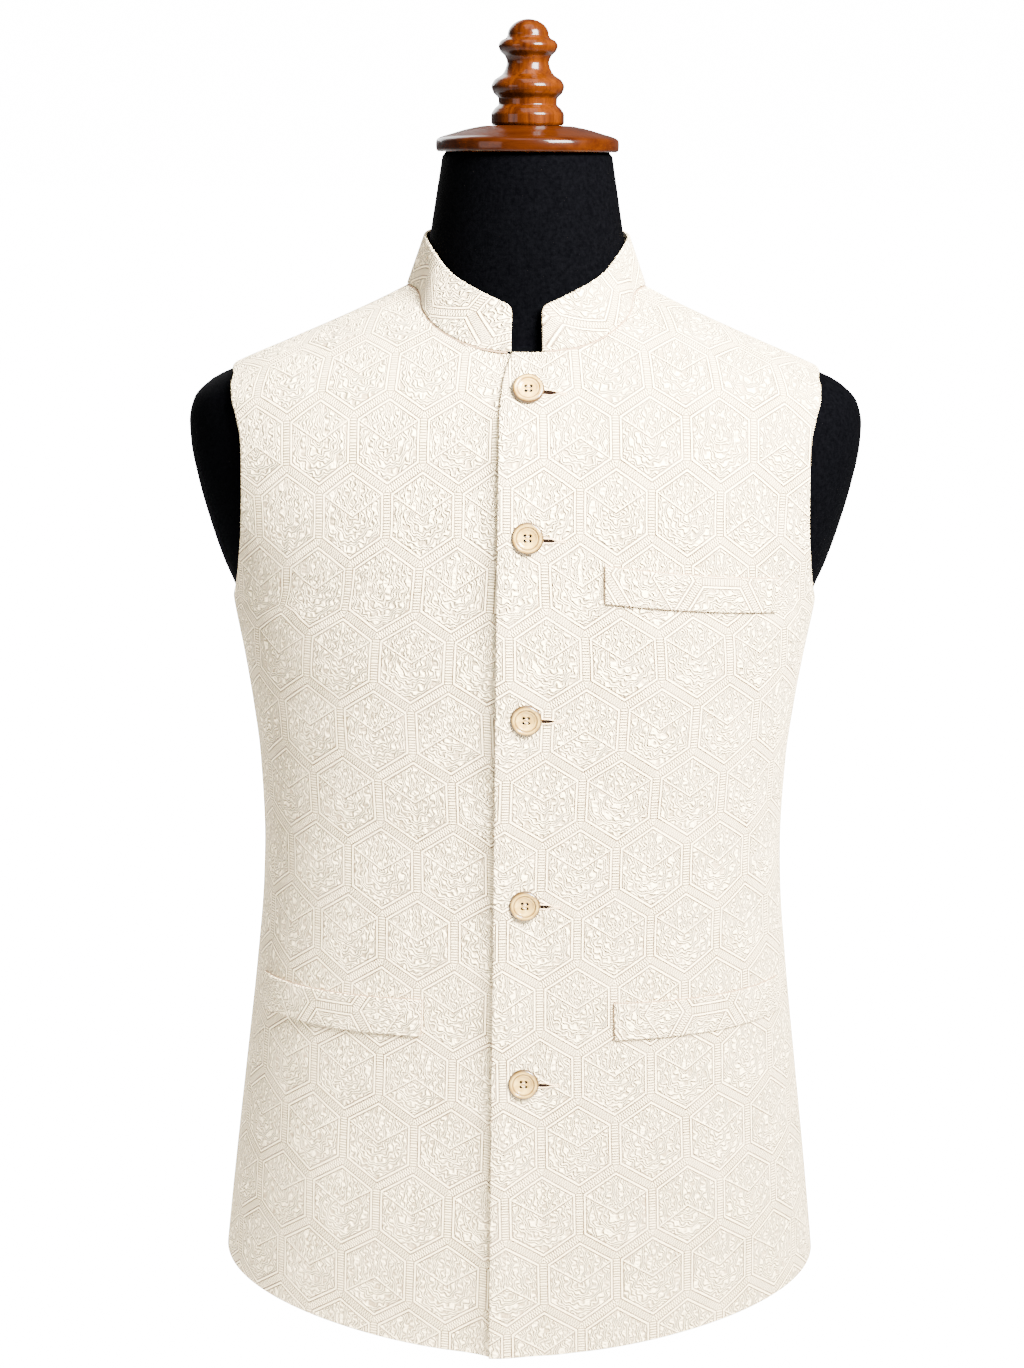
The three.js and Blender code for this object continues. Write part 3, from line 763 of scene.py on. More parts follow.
def jacquard(name):
    """A hexagon's reach is max(|x|, |x| / 2 + |y| sqrt(3) / 2) once y is scaled to even sides."""
    material, nodes = new_material(name)
    plus, minus, times, over, absolute = nodes.plus, nodes.minus, nodes.times, nodes.over, nodes.absolute
    uv = nodes.add("ShaderNodeUVMap", uv_map="cloth").outputs[0]
    tall = HEXAGON_PITCH * math.sqrt(3)
    squeeze = tall / 2 / ROW_PITCH
    place = nodes.add("ShaderNodeMapping", {"Vector": uv, "Scale": (1, squeeze, 1)}).outputs[0]
    half = (HEXAGON_PITCH / 2, tall / 2, 0)

    def local(offset):
        """The place inside the rectangle of one grid, measured from its middle, and the middle itself."""
        moved = nodes.vector("ADD", place, offset)
        wrapped = nodes.vector("WRAP", moved, (HEXAGON_PITCH, tall, 1), (0, 0, 0))
        flat = nodes.vector("MULTIPLY", nodes.vector("SUBTRACT", wrapped, half), (1, 1, 0))
        return flat, nodes.vector("SUBTRACT", place, flat)

    first, first_middle = local(half)
    second, second_middle = local((0, 0, 0))
    nearer = nodes.math("LESS_THAN", nodes.vector("LENGTH", first), nodes.vector("LENGTH", second))
    inside = nodes.choose(nearer, second, first)
    middle = nodes.choose(nearer, second_middle, first_middle)
    parts = nodes.add("ShaderNodeSeparateXYZ", {0: inside}).outputs
    y = parts[1]
    wide, high = absolute(parts[0]), absolute(y)
    slant = plus(times(wide, 0.5), times(high, math.sqrt(0.75)))
    edge = minus(HEXAGON_PITCH / 2, nodes.math("MAXIMUM", wide, slant))
    in_lane = nodes.math("LESS_THAN", edge, LANE / 2)
    in_hexagon = over(edge, LANE / 2)

    from_line = absolute(minus(edge, LANE / 2))
    outline = nodes.line(from_line, LINE_HALF, LINE_SOFT)
    groove = nodes.line(absolute(minus(from_line, GROOVE_PLACE)), GROOVE_HALF, LINE_SOFT)
    on_side = over(wide, slant)
    along_slant = minus(times(wide, math.sqrt(0.75)), times(high, 0.5))
    along = plus(times(high, on_side), times(along_slant, minus(1, on_side)))
    rung_wave = nodes.math("SINE", times(along, 2 * math.pi / RUNG_PERIOD))
    rungs = times(in_lane, minus(rung_wave, RUNG_SINK))

    counted = nodes.vector("DIVIDE", middle, (HEXAGON_PITCH / 2, tall / 2, 1))
    number = nodes.vector("FLOOR", nodes.vector("ADD", counted, (0.5, 0.5, 0)))
    chance = nodes.add("ShaderNodeTexWhiteNoise", {"Vector": number}, noise_dimensions="2D").outputs[0]
    down = over(chance, UPRIGHT_SHARE)
    slope = times(wide, FOLD_SLOPE)
    fold = plus(times(minus(y, slope), minus(1, down)), times(plus(y, slope), down))
    folded = times(over(chance, BARE_SHARE), in_hexagon)
    fold_line = times(nodes.line(absolute(fold), FOLD_HALF, LINE_SOFT), folded)
    fold_groove = times(nodes.line(absolute(plus(fold, GROOVE_PLACE)), GROOVE_HALF, LINE_SOFT), folded)

    def wave(distance, period, scale, wander):
        """sin(2 pi distance / period + wander * noise)."""
        drift = nodes.noise(uv, scale, 0, noise_dimensions="2D")
        phase = times(distance, 2 * math.pi / period)
        return nodes.math("SINE", nodes.math("MULTIPLY_ADD", drift, wander, phase))

    rings = wave(nodes.vector("LENGTH", inside), RING_PERIOD, RING_NOISE, RING_WANDER)
    rays = wave(wide, RAY_PERIOD, RAY_NOISE, RAY_WANDER)
    fill = nodes.add("ShaderNodeMix", {0: over(fold, 0), 2: rings, 3: rays}).outputs[0]
    fill = times(fill, in_hexagon)

    ridges = nodes.math("MAXIMUM", outline, times(fold_line, FOLD_RISE))
    grooves = nodes.math("MAXIMUM", groove, fold_groove)
    quiet = minus(1, nodes.math("MAXIMUM", ridges, grooves))
    ripple = plus(times(fill, FILL_RISE), times(rungs, RUNG_RISE))
    relief = plus(times(ripple, quiet), times(ridges, OUTLINE_RISE))
    relief = minus(relief, times(grooves, GROOVE_DEPTH))

    weave = nodes.noise(uv, 1300, 2, noise_dimensions="2D")
    slubs = nodes.noise(uv, 45, 3, noise_dimensions="2D")
    # painted shade: the lower the relief, the darker the colour, as in the shade of grooves and valleys
    colour = nodes.mix(nodes.spread(relief, FULL_SHADE_RELIEF, NO_SHADE_RELIEF), LOW_RELIEF_SHADE_COLOUR, RIDGE_COLOUR)
    colour = nodes.mix(nodes.spread(slubs, 0.35, 0.7, 0, 0.25), colour, SHADE_COLOUR)
    raised = nodes.bump(relief, RELIEF_HEIGHT, 1.0, nodes.bump(weave, 0.0002, 0.6))
    rough = nodes.spread(relief, 0, 1, 0.78, 0.6)
    nodes.shade(Base_Color=colour, Roughness=rough, Normal=raised, Sheen_Weight=0.05, Sheen_Roughness=0.4,
                Specular_IOR_Level=0.2)
    return material


cream = jacquard("cream jacquard")
print("hexagons are", HEXAGON_PITCH / MM, "mm wide and rows", ROW_PITCH / MM, "mm apart")

# %% [markdown]
# ## The dress form
# The form is hard and smooth under a thin stretched jersey. Torso and neck are two stacks of rings, and a
# smooth maximum joins them: half the sum plus half the distance, softened by a fillet. It stays clear of
# the cloth. The neck reaches a third of a millimetre into the cap, so that no light shows between them.

# %% Dress form
TORSO_RINGS = np.array([
    [0, 178, 94, 92, 2.2],
    [6, 186, 102, 98, 2.2],
    [30, 192, 107, 104, 2.2],
    [110, 196, 111, 108, 2.2],
    [200, 190, 109, 101, 2.2],
    [300, 178, 105, 93, 2.2],
    [350, 175, 104, 91, 2.2],
    [420, 181, 110, 98, 2.2],
    [500, 196, 119, 108, 2.2],
    [541, 206, 122, 112.5, 2.15],
    [556, 211.8, 121.5, 113, 2],
    [571, 218.2, 121, 113.5, 2],
    [600, 227.8, 120, 114, 2],
    [630, 235.8, 117, 113.7, 2],
    [658, 240.9, 111.5, 112, 2],
    [672.5, 241.6, 107.5, 110, 2],
    [687, 238.3, 101.1, 106.5, 2],
    [701, 225, 93.2, 101.5, 2],
    [712, 202.6, 85.9, 97.1, 2],
    [726, 171.2, 76.6, 90.4, 2],
    [740, 138.2, 64.9, 82.6, 2],
    [754, 106.2, 47, 73.5, 2],
    [764, 80.8, 28.8, 66, 2],
    [776, 52, 12, 56, 2],
    [862, 20, 6, 20, 2],
])
NECK_RINGS = np.array([
    [0, 40, 40, 40, 2],
    [700, 70, 72, 66, 2],
    [735, 72.5, 71.5, 64, 2],
    [757, 72.5, 67.5, 62, 2],
    [780, 71, 65.5, 61, 2],
    [800, 68.8, 64, 60.5, 2],
    [828, 64.6, 62, 60, 2],
    [853, 60.6, 60, 59.4, 2],
    [858, 59.8, 59.2, 58.6, 2],
    [861.3, 57.2, 56.8, 56.4, 2],
])
NECK_FILLET = 4
NECK_TOP = 861.3
FORM_TURNS = 144


def closed_rows(start, end, count, ends):
    """Heights of the rings, and the share of their radius, which goes to 0 at both poles."""
    heights = np.concatenate([[start] * ends, np.linspace(start, end, count), [end] * ends])
    opening = np.linspace(0, 1, ends + 1)[:-1]
    share = np.concatenate([opening, np.ones(count), np.linspace(1, 0, ends + 1)[1:]])
    return heights, share


def make_form(material):
    """Radius = (torso + neck + hypot(torso - neck, fillet)) / 2 at each turn and height."""
    heights, share = closed_rows(0, NECK_TOP, 260, 6)
    turn = np.linspace(0, 2 * math.pi, FORM_TURNS + 1)[None]
    z = heights[:, None] + 0 * turn
    torso = ring_radius(TORSO_RINGS, turn, z)
    neck = ring_radius(NECK_RINGS, turn, z)
    radius = (torso + neck + np.hypot(torso - neck, NECK_FILLET)) / 2
    points = around(radius * share[:, None], turn, z)
    return make_piece("dress_form", points.reshape(-1, 3), cells(*z.shape), material)


# %% [markdown]
# ## Black jersey
# The cover is a fine black knit with a little fluff. At arm's length it is nearly lost, so the colour is
# close to black and the bump and the sheen are faint. Small cells stand for the loops of the knit.

# %% Black jersey
def black_jersey():
    """Cells a millimetre wide make the loops, and noise breaks them up."""
    material, nodes = new_material("black jersey")
    place = nodes.here()
    loops = nodes.add("ShaderNodeTexVoronoi", {"Vector": place, "Scale": 900, "Randomness": 0.4})
    fluff = nodes.noise(place, 350, 4, {"Roughness": 0.7})
    patches = nodes.noise(place, 7, 3)
    height = nodes.plus(loops.outputs["Distance"], fluff)
    tone = nodes.spread(fluff, 0.35, 0.75)
    colour = nodes.mix(tone, (0.0001, 0.0001, 0.0002, 1), (0.0006, 0.0006, 0.0008, 1))
    rough = nodes.spread(patches, 0, 1, 0.82, 0.95)
    nodes.shade(Base_Color=colour, Roughness=rough, Normal=nodes.bump(height, 0.0002, 0.7),
                Sheen_Weight=0.0006, Sheen_Roughness=0.35, Specular_IOR_Level=0.005)
    return material


form = stand_in(make_form(black_jersey()), "black_jersey", "form_torso")

# %% [markdown]
# ## The fronts
# Each front is cut in one from hem to shoulder. The wearer's left front laps on top, so near its edge it is
# lifted off the right one, which is pressed in a little. The right front is drawn on the left and mirrored.

# %% Fronts
ROW_COUNTS = (110, 38, 46)


def panel_rows(counts):
    """Row numbers from 0 to 3, closer at the hem and at the shoulder, where the edges are rolled."""
    skirt_rim = RIM_STEPS / 500
    shoulder_rim = RIM_STEPS / 110
    skirt = np.concatenate([skirt_rim, np.linspace(skirt_rim[-1], 1, counts[0])[1:]])
    chest = np.linspace(1, 2, counts[1] + 1)[1:]
    yoke = np.concatenate([np.linspace(2, 3 - shoulder_rim[-1], counts[2])[1:-1], 3 - shoulder_rim[::-1]])
    return np.concatenate([skirt, chest, yoke])


def panel_grid(inner_turn, neck_corner, front, columns):
    """Rows, shares across, turns and heights of a panel, with closer columns where its edges are rolled."""
    rows = panel_rows(ROW_COUNTS)
    coarse = panel_places(rows, np.linspace(0, 1, 25)[None], inner_turn, neck_corner, front)
    across = with_rims(columns, running_length(cloth_point(*coarse), 1)[:, -1])
    return rows, across, *panel_places(rows, across, inner_turn, neck_corner, front)


def flat_places(flat, rows, across):
    """The flat cut at each point of the fine grid."""
    return between(flat, rows[:, None] * (len(flat) - 1) / 3 + 0 * across, across * (flat.shape[1] - 1))


def inner_edge(edge):
    """The turn of a front's inner edge at each height, and its turn at the neck."""
    inner_turn = lambda z: turn_at_width(read(edge, z, 1)[0], z)
    return inner_turn, float(inner_turn(np.array(float(NECK_FRONT))))


def front_panel(name, edge, lift, flat, start, mirror):
    """The lift dies away from the edge by the lap's share, and the rim is rolled along all four edges."""
    rows, across, turn, z = panel_grid(*inner_edge(edge), True, 92)
    raised = lift * lap_share(cloth_point(turn, z)[..., 0])
    side = -1 if mirror else 1

    def place(depth):
        return on_cloth(turn, z, raised - depth, side)

    seam_rounding = np.where(rows < 1, SEAM_ROUNDING, EDGE_ROUNDING)[:, None]
    inner_rounding = np.where(rows > 2, SEAM_ROUNDING, EDGE_ROUNDING)[:, None]
    rim = edge_share(place(1), inner_rounding, seam_rounding, EDGE_ROUNDING, SEAM_ROUNDING)
    points, quads = shell(place, CLOTH, mirror, rim)
    uv = pattern_place(flat_places(flat, rows, across) * (side, 1), start, side * CHEST_SHIFT)
    return make_piece(name, points, quads, cream, np.concatenate([uv, uv]))


def declare_cut(piece, flat):
    """Works out the flat cut's width, length and area, which nothing reads."""
    width, length, area = cut_size(flat)


left_flat = flat_cut(*inner_edge(LAP_EDGE), True, 0.0)
right_flat = flat_cut(*inner_edge(UNDERLAP_EDGE), True, 0.0)
LEFT_START = (44.5, -69.3)
RIGHT_START = (-54.3, -72.5)
front_left = front_panel("left_front", LAP_EDGE, LAP_LIFT, left_flat, LEFT_START, False)
front_right = front_panel("right_front", UNDERLAP_EDGE, UNDERLAP_LIFT, right_flat, RIGHT_START, True)
stand_in(front_left, "cream_jacquard", "front_left")
stand_in(front_right, "cream_jacquard", "front_right")
declare_cut(front_left, left_flat)
declare_cut(front_right, right_flat)

# %% [markdown]
# ## The back
# The back is cut whole, on the fold. Its half is worked out once and mirrored, and the two are welded down
# the middle up to the neckline, so there is no seam there.

# %% Back
BACK_START = (0.0, -70.0)


def middle_of_back(z):
    return z * 0 + math.pi


def back_panel(flat):
    """The mirrored half has its columns in the same order, so its faces are turned round."""
    rows, across, turn, z = panel_grid(middle_of_back, math.pi, False, 84)
    seam_rounding = np.where(rows < 1, SEAM_ROUNDING, EDGE_ROUNDING)[:, None]
    neck_rounding = np.where(rows > 2, SEAM_ROUNDING, 0)[:, None]
    half_flat = flat_places(flat, rows, across)
    all_points, all_quads, all_uv, count = [], [], [], 0
    for side in (-1, 1):
        def place(depth):
            return on_cloth(turn, z, -depth, side)

        rim = edge_share(place(1), neck_rounding, seam_rounding, EDGE_ROUNDING, SEAM_ROUNDING)
        points, quads = shell(place, CLOTH, side > 0, rim)
        all_points.append(points)
        all_quads.append(quads + count)
        uv = pattern_place(half_flat * (-side, 1), BACK_START)
        all_uv += [uv, uv]
        count += len(points)
    points, quads, uv = (np.concatenate(part) for part in (all_points, all_quads, all_uv))
    points[np.abs(points[:, 0]) < 1e-3, 0] = 0
    return make_piece("back_panel", points, quads, cream, uv)


back_flat = flat_cut(middle_of_back, math.pi, False, math.pi)
back = stand_in(back_panel(back_flat), "cream_jacquard", "back")
declare_cut(back, back_flat)

# %% [markdown]
# ## The stand collar
# The collar is a straight band, stiffened inside, that rises from the neckline and leans in a little. Its
# ends are upright with eased top corners. It is worked out as a loft from the neckline to a table of its
# top edge.

# %% Collar
# degrees round from the front, distance from the middle, height
COLLAR_TOP = np.array([
    [0, 75.5, 754.5],
    [20, 74, 765],
    [45, 73, 778.8],
    [65, 72.6, 793.5],
    [80, 72.8, 801.5],
    [100, 72.8, 806],
    [140, 69, 810],
    [180, 67.5, 811],
])
COLLAR_WALL = 2.4
COLLAR_PROUD = 0.9
COLLAR_HALF_GAP = 10.5
COLLAR_CORNER = 4
# turn at which the collar's seam starts, and the points along it
SEAM_START = 0.155
SEAM_POINTS = 420
SEAM_ROLL = 0.75
SEAM_SINK = 0.35


def collar_point(turn, rise):
    """The base follows the neckline, the top follows the table, and a straight line joins them."""
    low = neckline_height(turn)
    base_x = cloth_point(turn, low)[..., 0]
    lap = np.where((turn < QUARTER), LAP_LIFT * lap_share(base_x), 0)
    base = on_cloth(turn, low, COLLAR_PROUD + lap)
    degrees = np.degrees(np.minimum(turn, 2 * math.pi - turn))
    top_out, top_z = read(COLLAR_TOP, degrees, 1, 2)
    radius = lerp(np.hypot(base[..., 0], base[..., 1]), top_out, rise)
    from_end = np.where(np.cos(turn) > 0, radius * np.abs(np.sin(turn)) - COLLAR_HALF_GAP, radius)
    cut = 1 - np.clip(from_end / COLLAR_CORNER, 0, 1)
    corner = COLLAR_CORNER * (1 - np.sqrt(1 - cut**2))
    z = lerp(base[..., 2] + SEAM_GAP, top_z - corner, rise)
    return around(radius, turn, z)


def make_collar(material):
    rises = with_rims(14, 32.0)
    end_radius = lerp(read(CLOTH_RINGS, NECK_FRONT, 2)[0], COLLAR_TOP[0, 1], rises)
    end_turn = np.arcsin(COLLAR_HALF_GAP / end_radius)[:, None]
    along = with_rims(260, 470.0)
    turn = lerp(end_turn, 2 * math.pi - end_turn, along[None])
    rise = rises[:, None] + 0 * turn
    step_round = collar_point(turn + 1e-3, rise) - collar_point(turn - 1e-3, rise)
    step_round[..., 2] = 0
    step_up = collar_point(turn, np.minimum(rise + 0.01, 1)) - collar_point(turn, np.maximum(rise - 0.01, 0))
    normal = unit(np.cross(step_round, step_up))

    def place(depth):
        return collar_point(turn, rise) - normal * depth

    middle = place(COLLAR_WALL / 2)
    rim = edge_share(middle, EDGE_ROUNDING, EDGE_ROUNDING, 0.7, EDGE_ROUNDING)
    points, quads = shell(place, COLLAR_WALL, False, rim)
    flat = np.stack([running_length(middle, 1), running_length(middle, 0)], axis=-1)
    flat[..., 0] -= flat[:, -1:, 0] / 2
    uv = flat.reshape(-1, 2) + (9, 12)
    return make_piece("stand_collar", points, quads, material, np.concatenate([uv, uv])), flat


collar_piece, collar_flat = make_collar(cream)
collar = stand_in(collar_piece, "cream_jacquard", "collar")
declare_cut(collar, collar_flat)


def tube(path, radius, sides=8):
    """A ring of points square to the path at each of its points. A radius of 0 closes an end."""
    ahead = unit(np.gradient(path, axis=0))
    side = unit(np.cross(ahead, (0.0, 0.0, 1.0)) + 1e-9)
    up = np.cross(side, ahead)
    angle = np.linspace(0, 2 * math.pi, sides + 1)[None, :, None]
    size = np.asarray(radius)[:, None, None]
    return path[:, None] + size * (np.cos(angle) * side[:, None] + np.sin(angle) * up[:, None])


def closed_ends(count):
    """0 at both ends of a row of points and 1 between them."""
    return np.r_[0, np.ones(count - 2), 0]


def bundle(rings):
    """The points and cells of several tubes of one size."""
    count, rows, columns = rings.shape[:3]
    quads = [cells(rows, columns, k * rows * columns) for k in range(count)]
    return rings.reshape(-1, 3), np.concatenate(quads)


def collar_seam_shadow():
    """A thin roll in the corner where the collar meets the neckline, the bottom of the seam, in painted
    shade.
    """
    turn = np.linspace(SEAM_START, 2 * math.pi - SEAM_START, SEAM_POINTS)
    low = neckline_height(turn)
    lap = np.where(turn < QUARTER, LAP_LIFT * lap_share(cloth_point(turn, low)[..., 0]), 0)
    path = on_cloth(turn, low, lap - SEAM_SINK)
    path[:, 2] += 0.1
    ring = tube(path, SEAM_ROLL * closed_ends(SEAM_POINTS))
    return make_piece("collar_seam_shadow", ring.reshape(-1, 3), cells(*ring.shape[:2])[:, ::-1], seam_shadow_paint)


def seam_shade():
    """Painted shade for the depth of a seam: darker than the cloth, with the weave's grain."""
    material, nodes = new_material("seam shade")
    grain = nodes.noise(nodes.here(), 900, 2)
    # painted shade: a brown far darker than the cloth, for the shadow in the seam
    colour = nodes.mix(grain, (0.16, 0.09, 0.04, 1), (0.34, 0.22, 0.12, 1))
    nodes.shade(Base_Color=colour, Roughness=0.85, Normal=nodes.bump(grain, 0.0002, 0.6))
    return material


seam_shadow_paint = seam_shade()
seam = collar_seam_shadow()
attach(seam, "root")

# %% [markdown]
# ## Pocket welts
# A welt is a folded strip that closes the lower edge of a pocket. It stands on the front by its own
# thickness, so it keeps a crisp shadow below. Its edges are straight on the body, and its pattern lies
# across the front's. A thin roll round its foot is the seam, and its darker colour is painted shadow.

# %% Welts
# node, side, near x, near low, near high, far x, far low, far high
WELTS = [
    ("welt_chest_left", 1, 54, 562, 587.5, 174.8, 548.4, 572.4),
    ("welt_hip_left", 1, 65.4, 247.6, 274.2, 189.2, 246.6, 271.4),
    ("welt_hip_right", -1, 71.6, 249.4, 276, 190.6, 246.2, 271.4),
]
WELT_WALL = 2.0
WELT_PROUD = 0.5
WELT_ROUNDING = 0.8
WELT_SEAM_LIFT = 0.25
WELT_SEAM_ROLL = 0.5


def make_welt(node, side, near_x, near_low, near_high, far_x, far_low, far_high):
    """A strip between two straight edges on the cloth, lifted by its own wall."""
    up = with_rims(12, 25.0)[:, None]
    along = with_rims(70, 125.0)[None]
    near_turn = turn_at_width(np.array(float(near_x)), np.array(float(near_low)))
    far_turn = turn_at_width(np.array(float(far_x)), np.array(float(far_low)))
    turn = lerp(near_turn, far_turn, along) + 0 * up
    z = lerp(lerp(near_low, far_low, along), lerp(near_high, far_high, along), up)

    def place(depth):
        return on_cloth(turn, z, WELT_PROUD + WELT_WALL - depth, side)

    middle = place(WELT_WALL / 2)
    rim = edge_share(middle, *[WELT_ROUNDING] * 4)
    points, quads = shell(place, WELT_WALL, side < 0, rim)
    flat = np.stack([running_length(middle, 1) + near_x, running_length(middle, 0) + near_low], axis=-1)
    uv = flat[..., ::-1].reshape(-1, 2) + (0, 13)
    piece = make_piece(node.replace("welt_", "") + "_pocket_welt", points, quads, cream,
                       np.concatenate([uv, uv]))
    declare_cut(stand_in(piece, "cream_jacquard", node), flat)
    welt_seam_shadow(node, turn, z, side)


def welt_seam_shadow(node, turn, z, side):
    """A thin roll round the welt's foot, in painted shadow, so that its edges read as sewn."""
    round_turn, round_z = (
        np.concatenate([grid[0], grid[:, -1], grid[-1, ::-1], grid[::-1, 0]]) for grid in (turn, z)
    )
    path = on_cloth(round_turn, round_z, WELT_SEAM_LIFT, side)
    apart = np.linalg.norm(np.diff(path, axis=0, prepend=path[:1] - 1), axis=1) > 0.02
    path = path[apart]
    ring = tube(path, WELT_SEAM_ROLL * closed_ends(len(path)), 6)
    quads = cells(*ring.shape[:2])[:, ::-1]
    roll = make_piece(node.replace("welt_", "") + "_welt_seam_shadow", ring.reshape(-1, 3), quads, seam_shadow_paint)
    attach(roll, "root")


for row in WELTS:
    make_welt(*row)

# %% [markdown]
# ## Buttons
# The buttons are turned discs, about 22 mm, with a raised rim, a groove and a dished middle with four
# holes. A lathe profile gives the disc, and the holes are sunk into its grid, which keeps one closed
# surface. Cream thread crosses between the holes.

# %% Button materials
# metres from the button's middle: the groove, the edge's painted shade, each hole's middle along x and y, its
# radius
HORN_GROOVE = 0.0075
EDGE_SHADE_SPAN = (0.0086, 0.0102)
HOLE_CORNER = (0.0017, 0.0017, 0)
HOLE_SHADE = 0.00095


def button_horn():
    """Pale horn, cream with faint clouds. Painted shade darkens it towards the edge, in the groove and in the
    holes.
    """
    material, nodes = new_material("cream horn")
    flat = nodes.add("ShaderNodeUVMap", uv_map="cloth").outputs[0]
    clouds = nodes.noise(flat, 150, 4, {"Distortion": 0.6})
    colour = nodes.mix(nodes.spread(clouds, 0.3, 0.7), (0.25, 0.135, 0.02, 1), (0.50, 0.325, 0.09, 1))
    out = nodes.vector("LENGTH", flat)
    # painted shade in the groove, then towards the edge and in the holes
    groove = nodes.line(nodes.absolute(nodes.minus(out, HORN_GROOVE)), 0.0002, 0.0007)
    colour = nodes.mix(nodes.times(groove, 0.75), colour, (0.05, 0.02, 0.003, 1))
    edge_shade = nodes.spread(out, *EDGE_SHADE_SPAN)
    colour = nodes.mix(nodes.times(edge_shade, 0.96), colour, (0.02, 0.007, 0.001, 1))
    corner = nodes.vector("SUBTRACT", nodes.vector("ABSOLUTE", flat), HOLE_CORNER)
    hole = nodes.line(nodes.vector("LENGTH", corner), HOLE_SHADE, 0.0003)
    colour = nodes.mix(hole, colour, (0.001, 0.0005, 0.0002, 1))
    fine = nodes.noise(flat, 900, 2)
    nodes.shade(Base_Color=colour, Roughness=0.34, Normal=nodes.bump(fine, 0.00004, 0.4),
                Coat_Weight=0.4, Coat_Roughness=0.1, Specular_IOR_Level=0.2)
    return material


def sewing_thread():
    """Twisted thread: a fine wave across its length."""
    material, nodes = new_material("cream thread")
    inputs = {"Vector": nodes.here(), "Scale": 420, "Distortion": 1.5}
    twist = nodes.add("ShaderNodeTexWave", inputs, bands_direction="DIAGONAL").outputs["Fac"]
    colour = nodes.mix(twist, (0.36, 0.22, 0.09, 1), (0.80, 0.60, 0.35, 1))
    nodes.shade(Base_Color=colour, Roughness=0.75, Normal=nodes.bump(twist, 0.0001, 0.6), Sheen_Weight=0.2)
    return material


horn = button_horn()
thread = sewing_thread()
print("button materials:", horn.name, thread.name)

# %% Buttons
BUTTON_X = 1.2
BUTTON_HEIGHTS = (702.8, 606.7, 482.2, 348, 218.4)
BUTTON_HOLE_OUT = 2.4
BUTTON_HOLE_DEPTH = 1.9
# the sewing thread's radius, half a stitch's length, and the height of its ends and of its arch
THREAD_RADIUS = 0.17
STITCH_HALF = 1.3
STITCH_FOOT = 1.6
STITCH_ARCH = 1.05
# points along the profile, and the first of them that is on top
PROFILE_POINTS = 96
FIRST_ON_TOP = 41
# radius, height of the turned profile, from the back round the rim to the middle
BUTTON_PROFILE = np.array([
    [0, 0],
    [8.6, 0],
    [9.8, 0.15],
    [10.7, 0.75],
    [11, 1.6],
    [10.85, 2.4],
    [10.3, 3.2],
    [9.4, 3.65],
    [8.6, 3.7],
    [7.9, 3.35],
    [7.5, 2.95],
    [7.1, 3],
    [6.6, 3.05],
    [6, 2.75],
    [5, 2.35],
    [3, 2.15],
    [0, 2.1],
])


def smooth_profile(profile, count):
    """A monotone cubic through the rows, read by the length walked along them."""
    length = running_length(profile[None], 1)[0]
    at = np.linspace(0, length[-1], count)
    return through(at, length, profile[:, 0]), through(at, length, profile[:, 1])


def button_frame(z):
    """The place under the button and three directions: right, up and out along the cloth's normal."""
    turn = turn_at_width(np.array(BUTTON_X), np.array(float(z)))
    out = cloth_normal(turn, np.array(float(z)))
    right = unit(np.cross((0.0, 0.0, 1.0), out))
    up = np.cross(out, right)
    return on_cloth(turn, np.array(float(z)), LAP_LIFT + SEAM_GAP), np.stack([right, up, out])


def button_disc():
    """r and h of the profile, turned round, less depth * exp(-d^6) at each of the four holes."""
    radius, height = smooth_profile(BUTTON_PROFILE, PROFILE_POINTS)
    turn = np.linspace(0, 2 * math.pi, 73)[None]
    r = radius[:, None]
    x, y = r * np.cos(turn), r * np.sin(turn)
    h = height[:, None] + 0 * x
    on_top = (np.arange(PROFILE_POINTS) >= FIRST_ON_TOP)[:, None]
    for corner in (0.25, 0.75, 1.25, 1.75):
        away = np.hypot(x - BUTTON_HOLE_OUT * math.cos(corner * math.pi),
                        y - BUTTON_HOLE_OUT * math.sin(corner * math.pi))
        h = h - on_top * BUTTON_HOLE_DEPTH * np.exp(-(away**6))
    return np.stack([x, y, h], axis=-1)


def thread_bars():
    """Two strands side by side over each pair of holes, each a half ellipse from hole to hole."""
    share = np.linspace(-1, 1, 15)
    bars = []
    for level in (-1, 1):
        for beside in (-0.22, 0.22):
            x = share * STITCH_HALF
            y = level * (STITCH_HALF + 0.2 * share) + beside + 0 * share
            h = STITCH_FOOT + STITCH_ARCH * np.sqrt(np.clip(1 - share**2, 0, 1))
            path = np.stack([x, y, h], axis=-1)
            bars.append(tube(path, np.where(np.abs(share) < 0.99, THREAD_RADIUS, 0.0)))
    return np.stack(bars)


def make_buttons():
    disc = button_disc()
    bars, bar_quads = bundle(thread_bars())
    flat = disc[..., :2].reshape(-1, 2)
    for number, z in enumerate(BUTTON_HEIGHTS, 1):
        start, axes = button_frame(z)
        points = disc.reshape(-1, 3) @ axes + start
        piece = make_piece(f"horn_button_{number}", points, cells(*disc.shape[:2]), horn, flat)
        stand_in(piece, "cream_button", f"button_{number}")
        sewn = make_piece(f"button_thread_{number}", bars @ axes + start, bar_quads, thread)
        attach(sewn, "root")


make_buttons()

# %% [markdown]
# ## Buttonholes
# Each worked buttonhole is a dark slit between two lips of close stitches. It opens beside the button's
# shank and closes towards its far end. The lips are two ribbed cords laid on the cloth, and the slit is a
# dark sliver.

# %% Buttonholes
HOLE_START = 6.0
HOLE_END = 25.5
HOLE_POINTS = 90
HOLE_DROP = 0.9
STITCHES = 26
LIP_RADIUS = 0.55
LIP_GAP = 0.35
LEAST_PARTED = 0.15
MOST_PARTED = 1.15


def on_front(x, z, lift):
    """Places on the left front at x and height z."""
    turn = turn_at_width(x, z)
    return on_cloth(turn, z, lift + LAP_LIFT * lap_share(x))


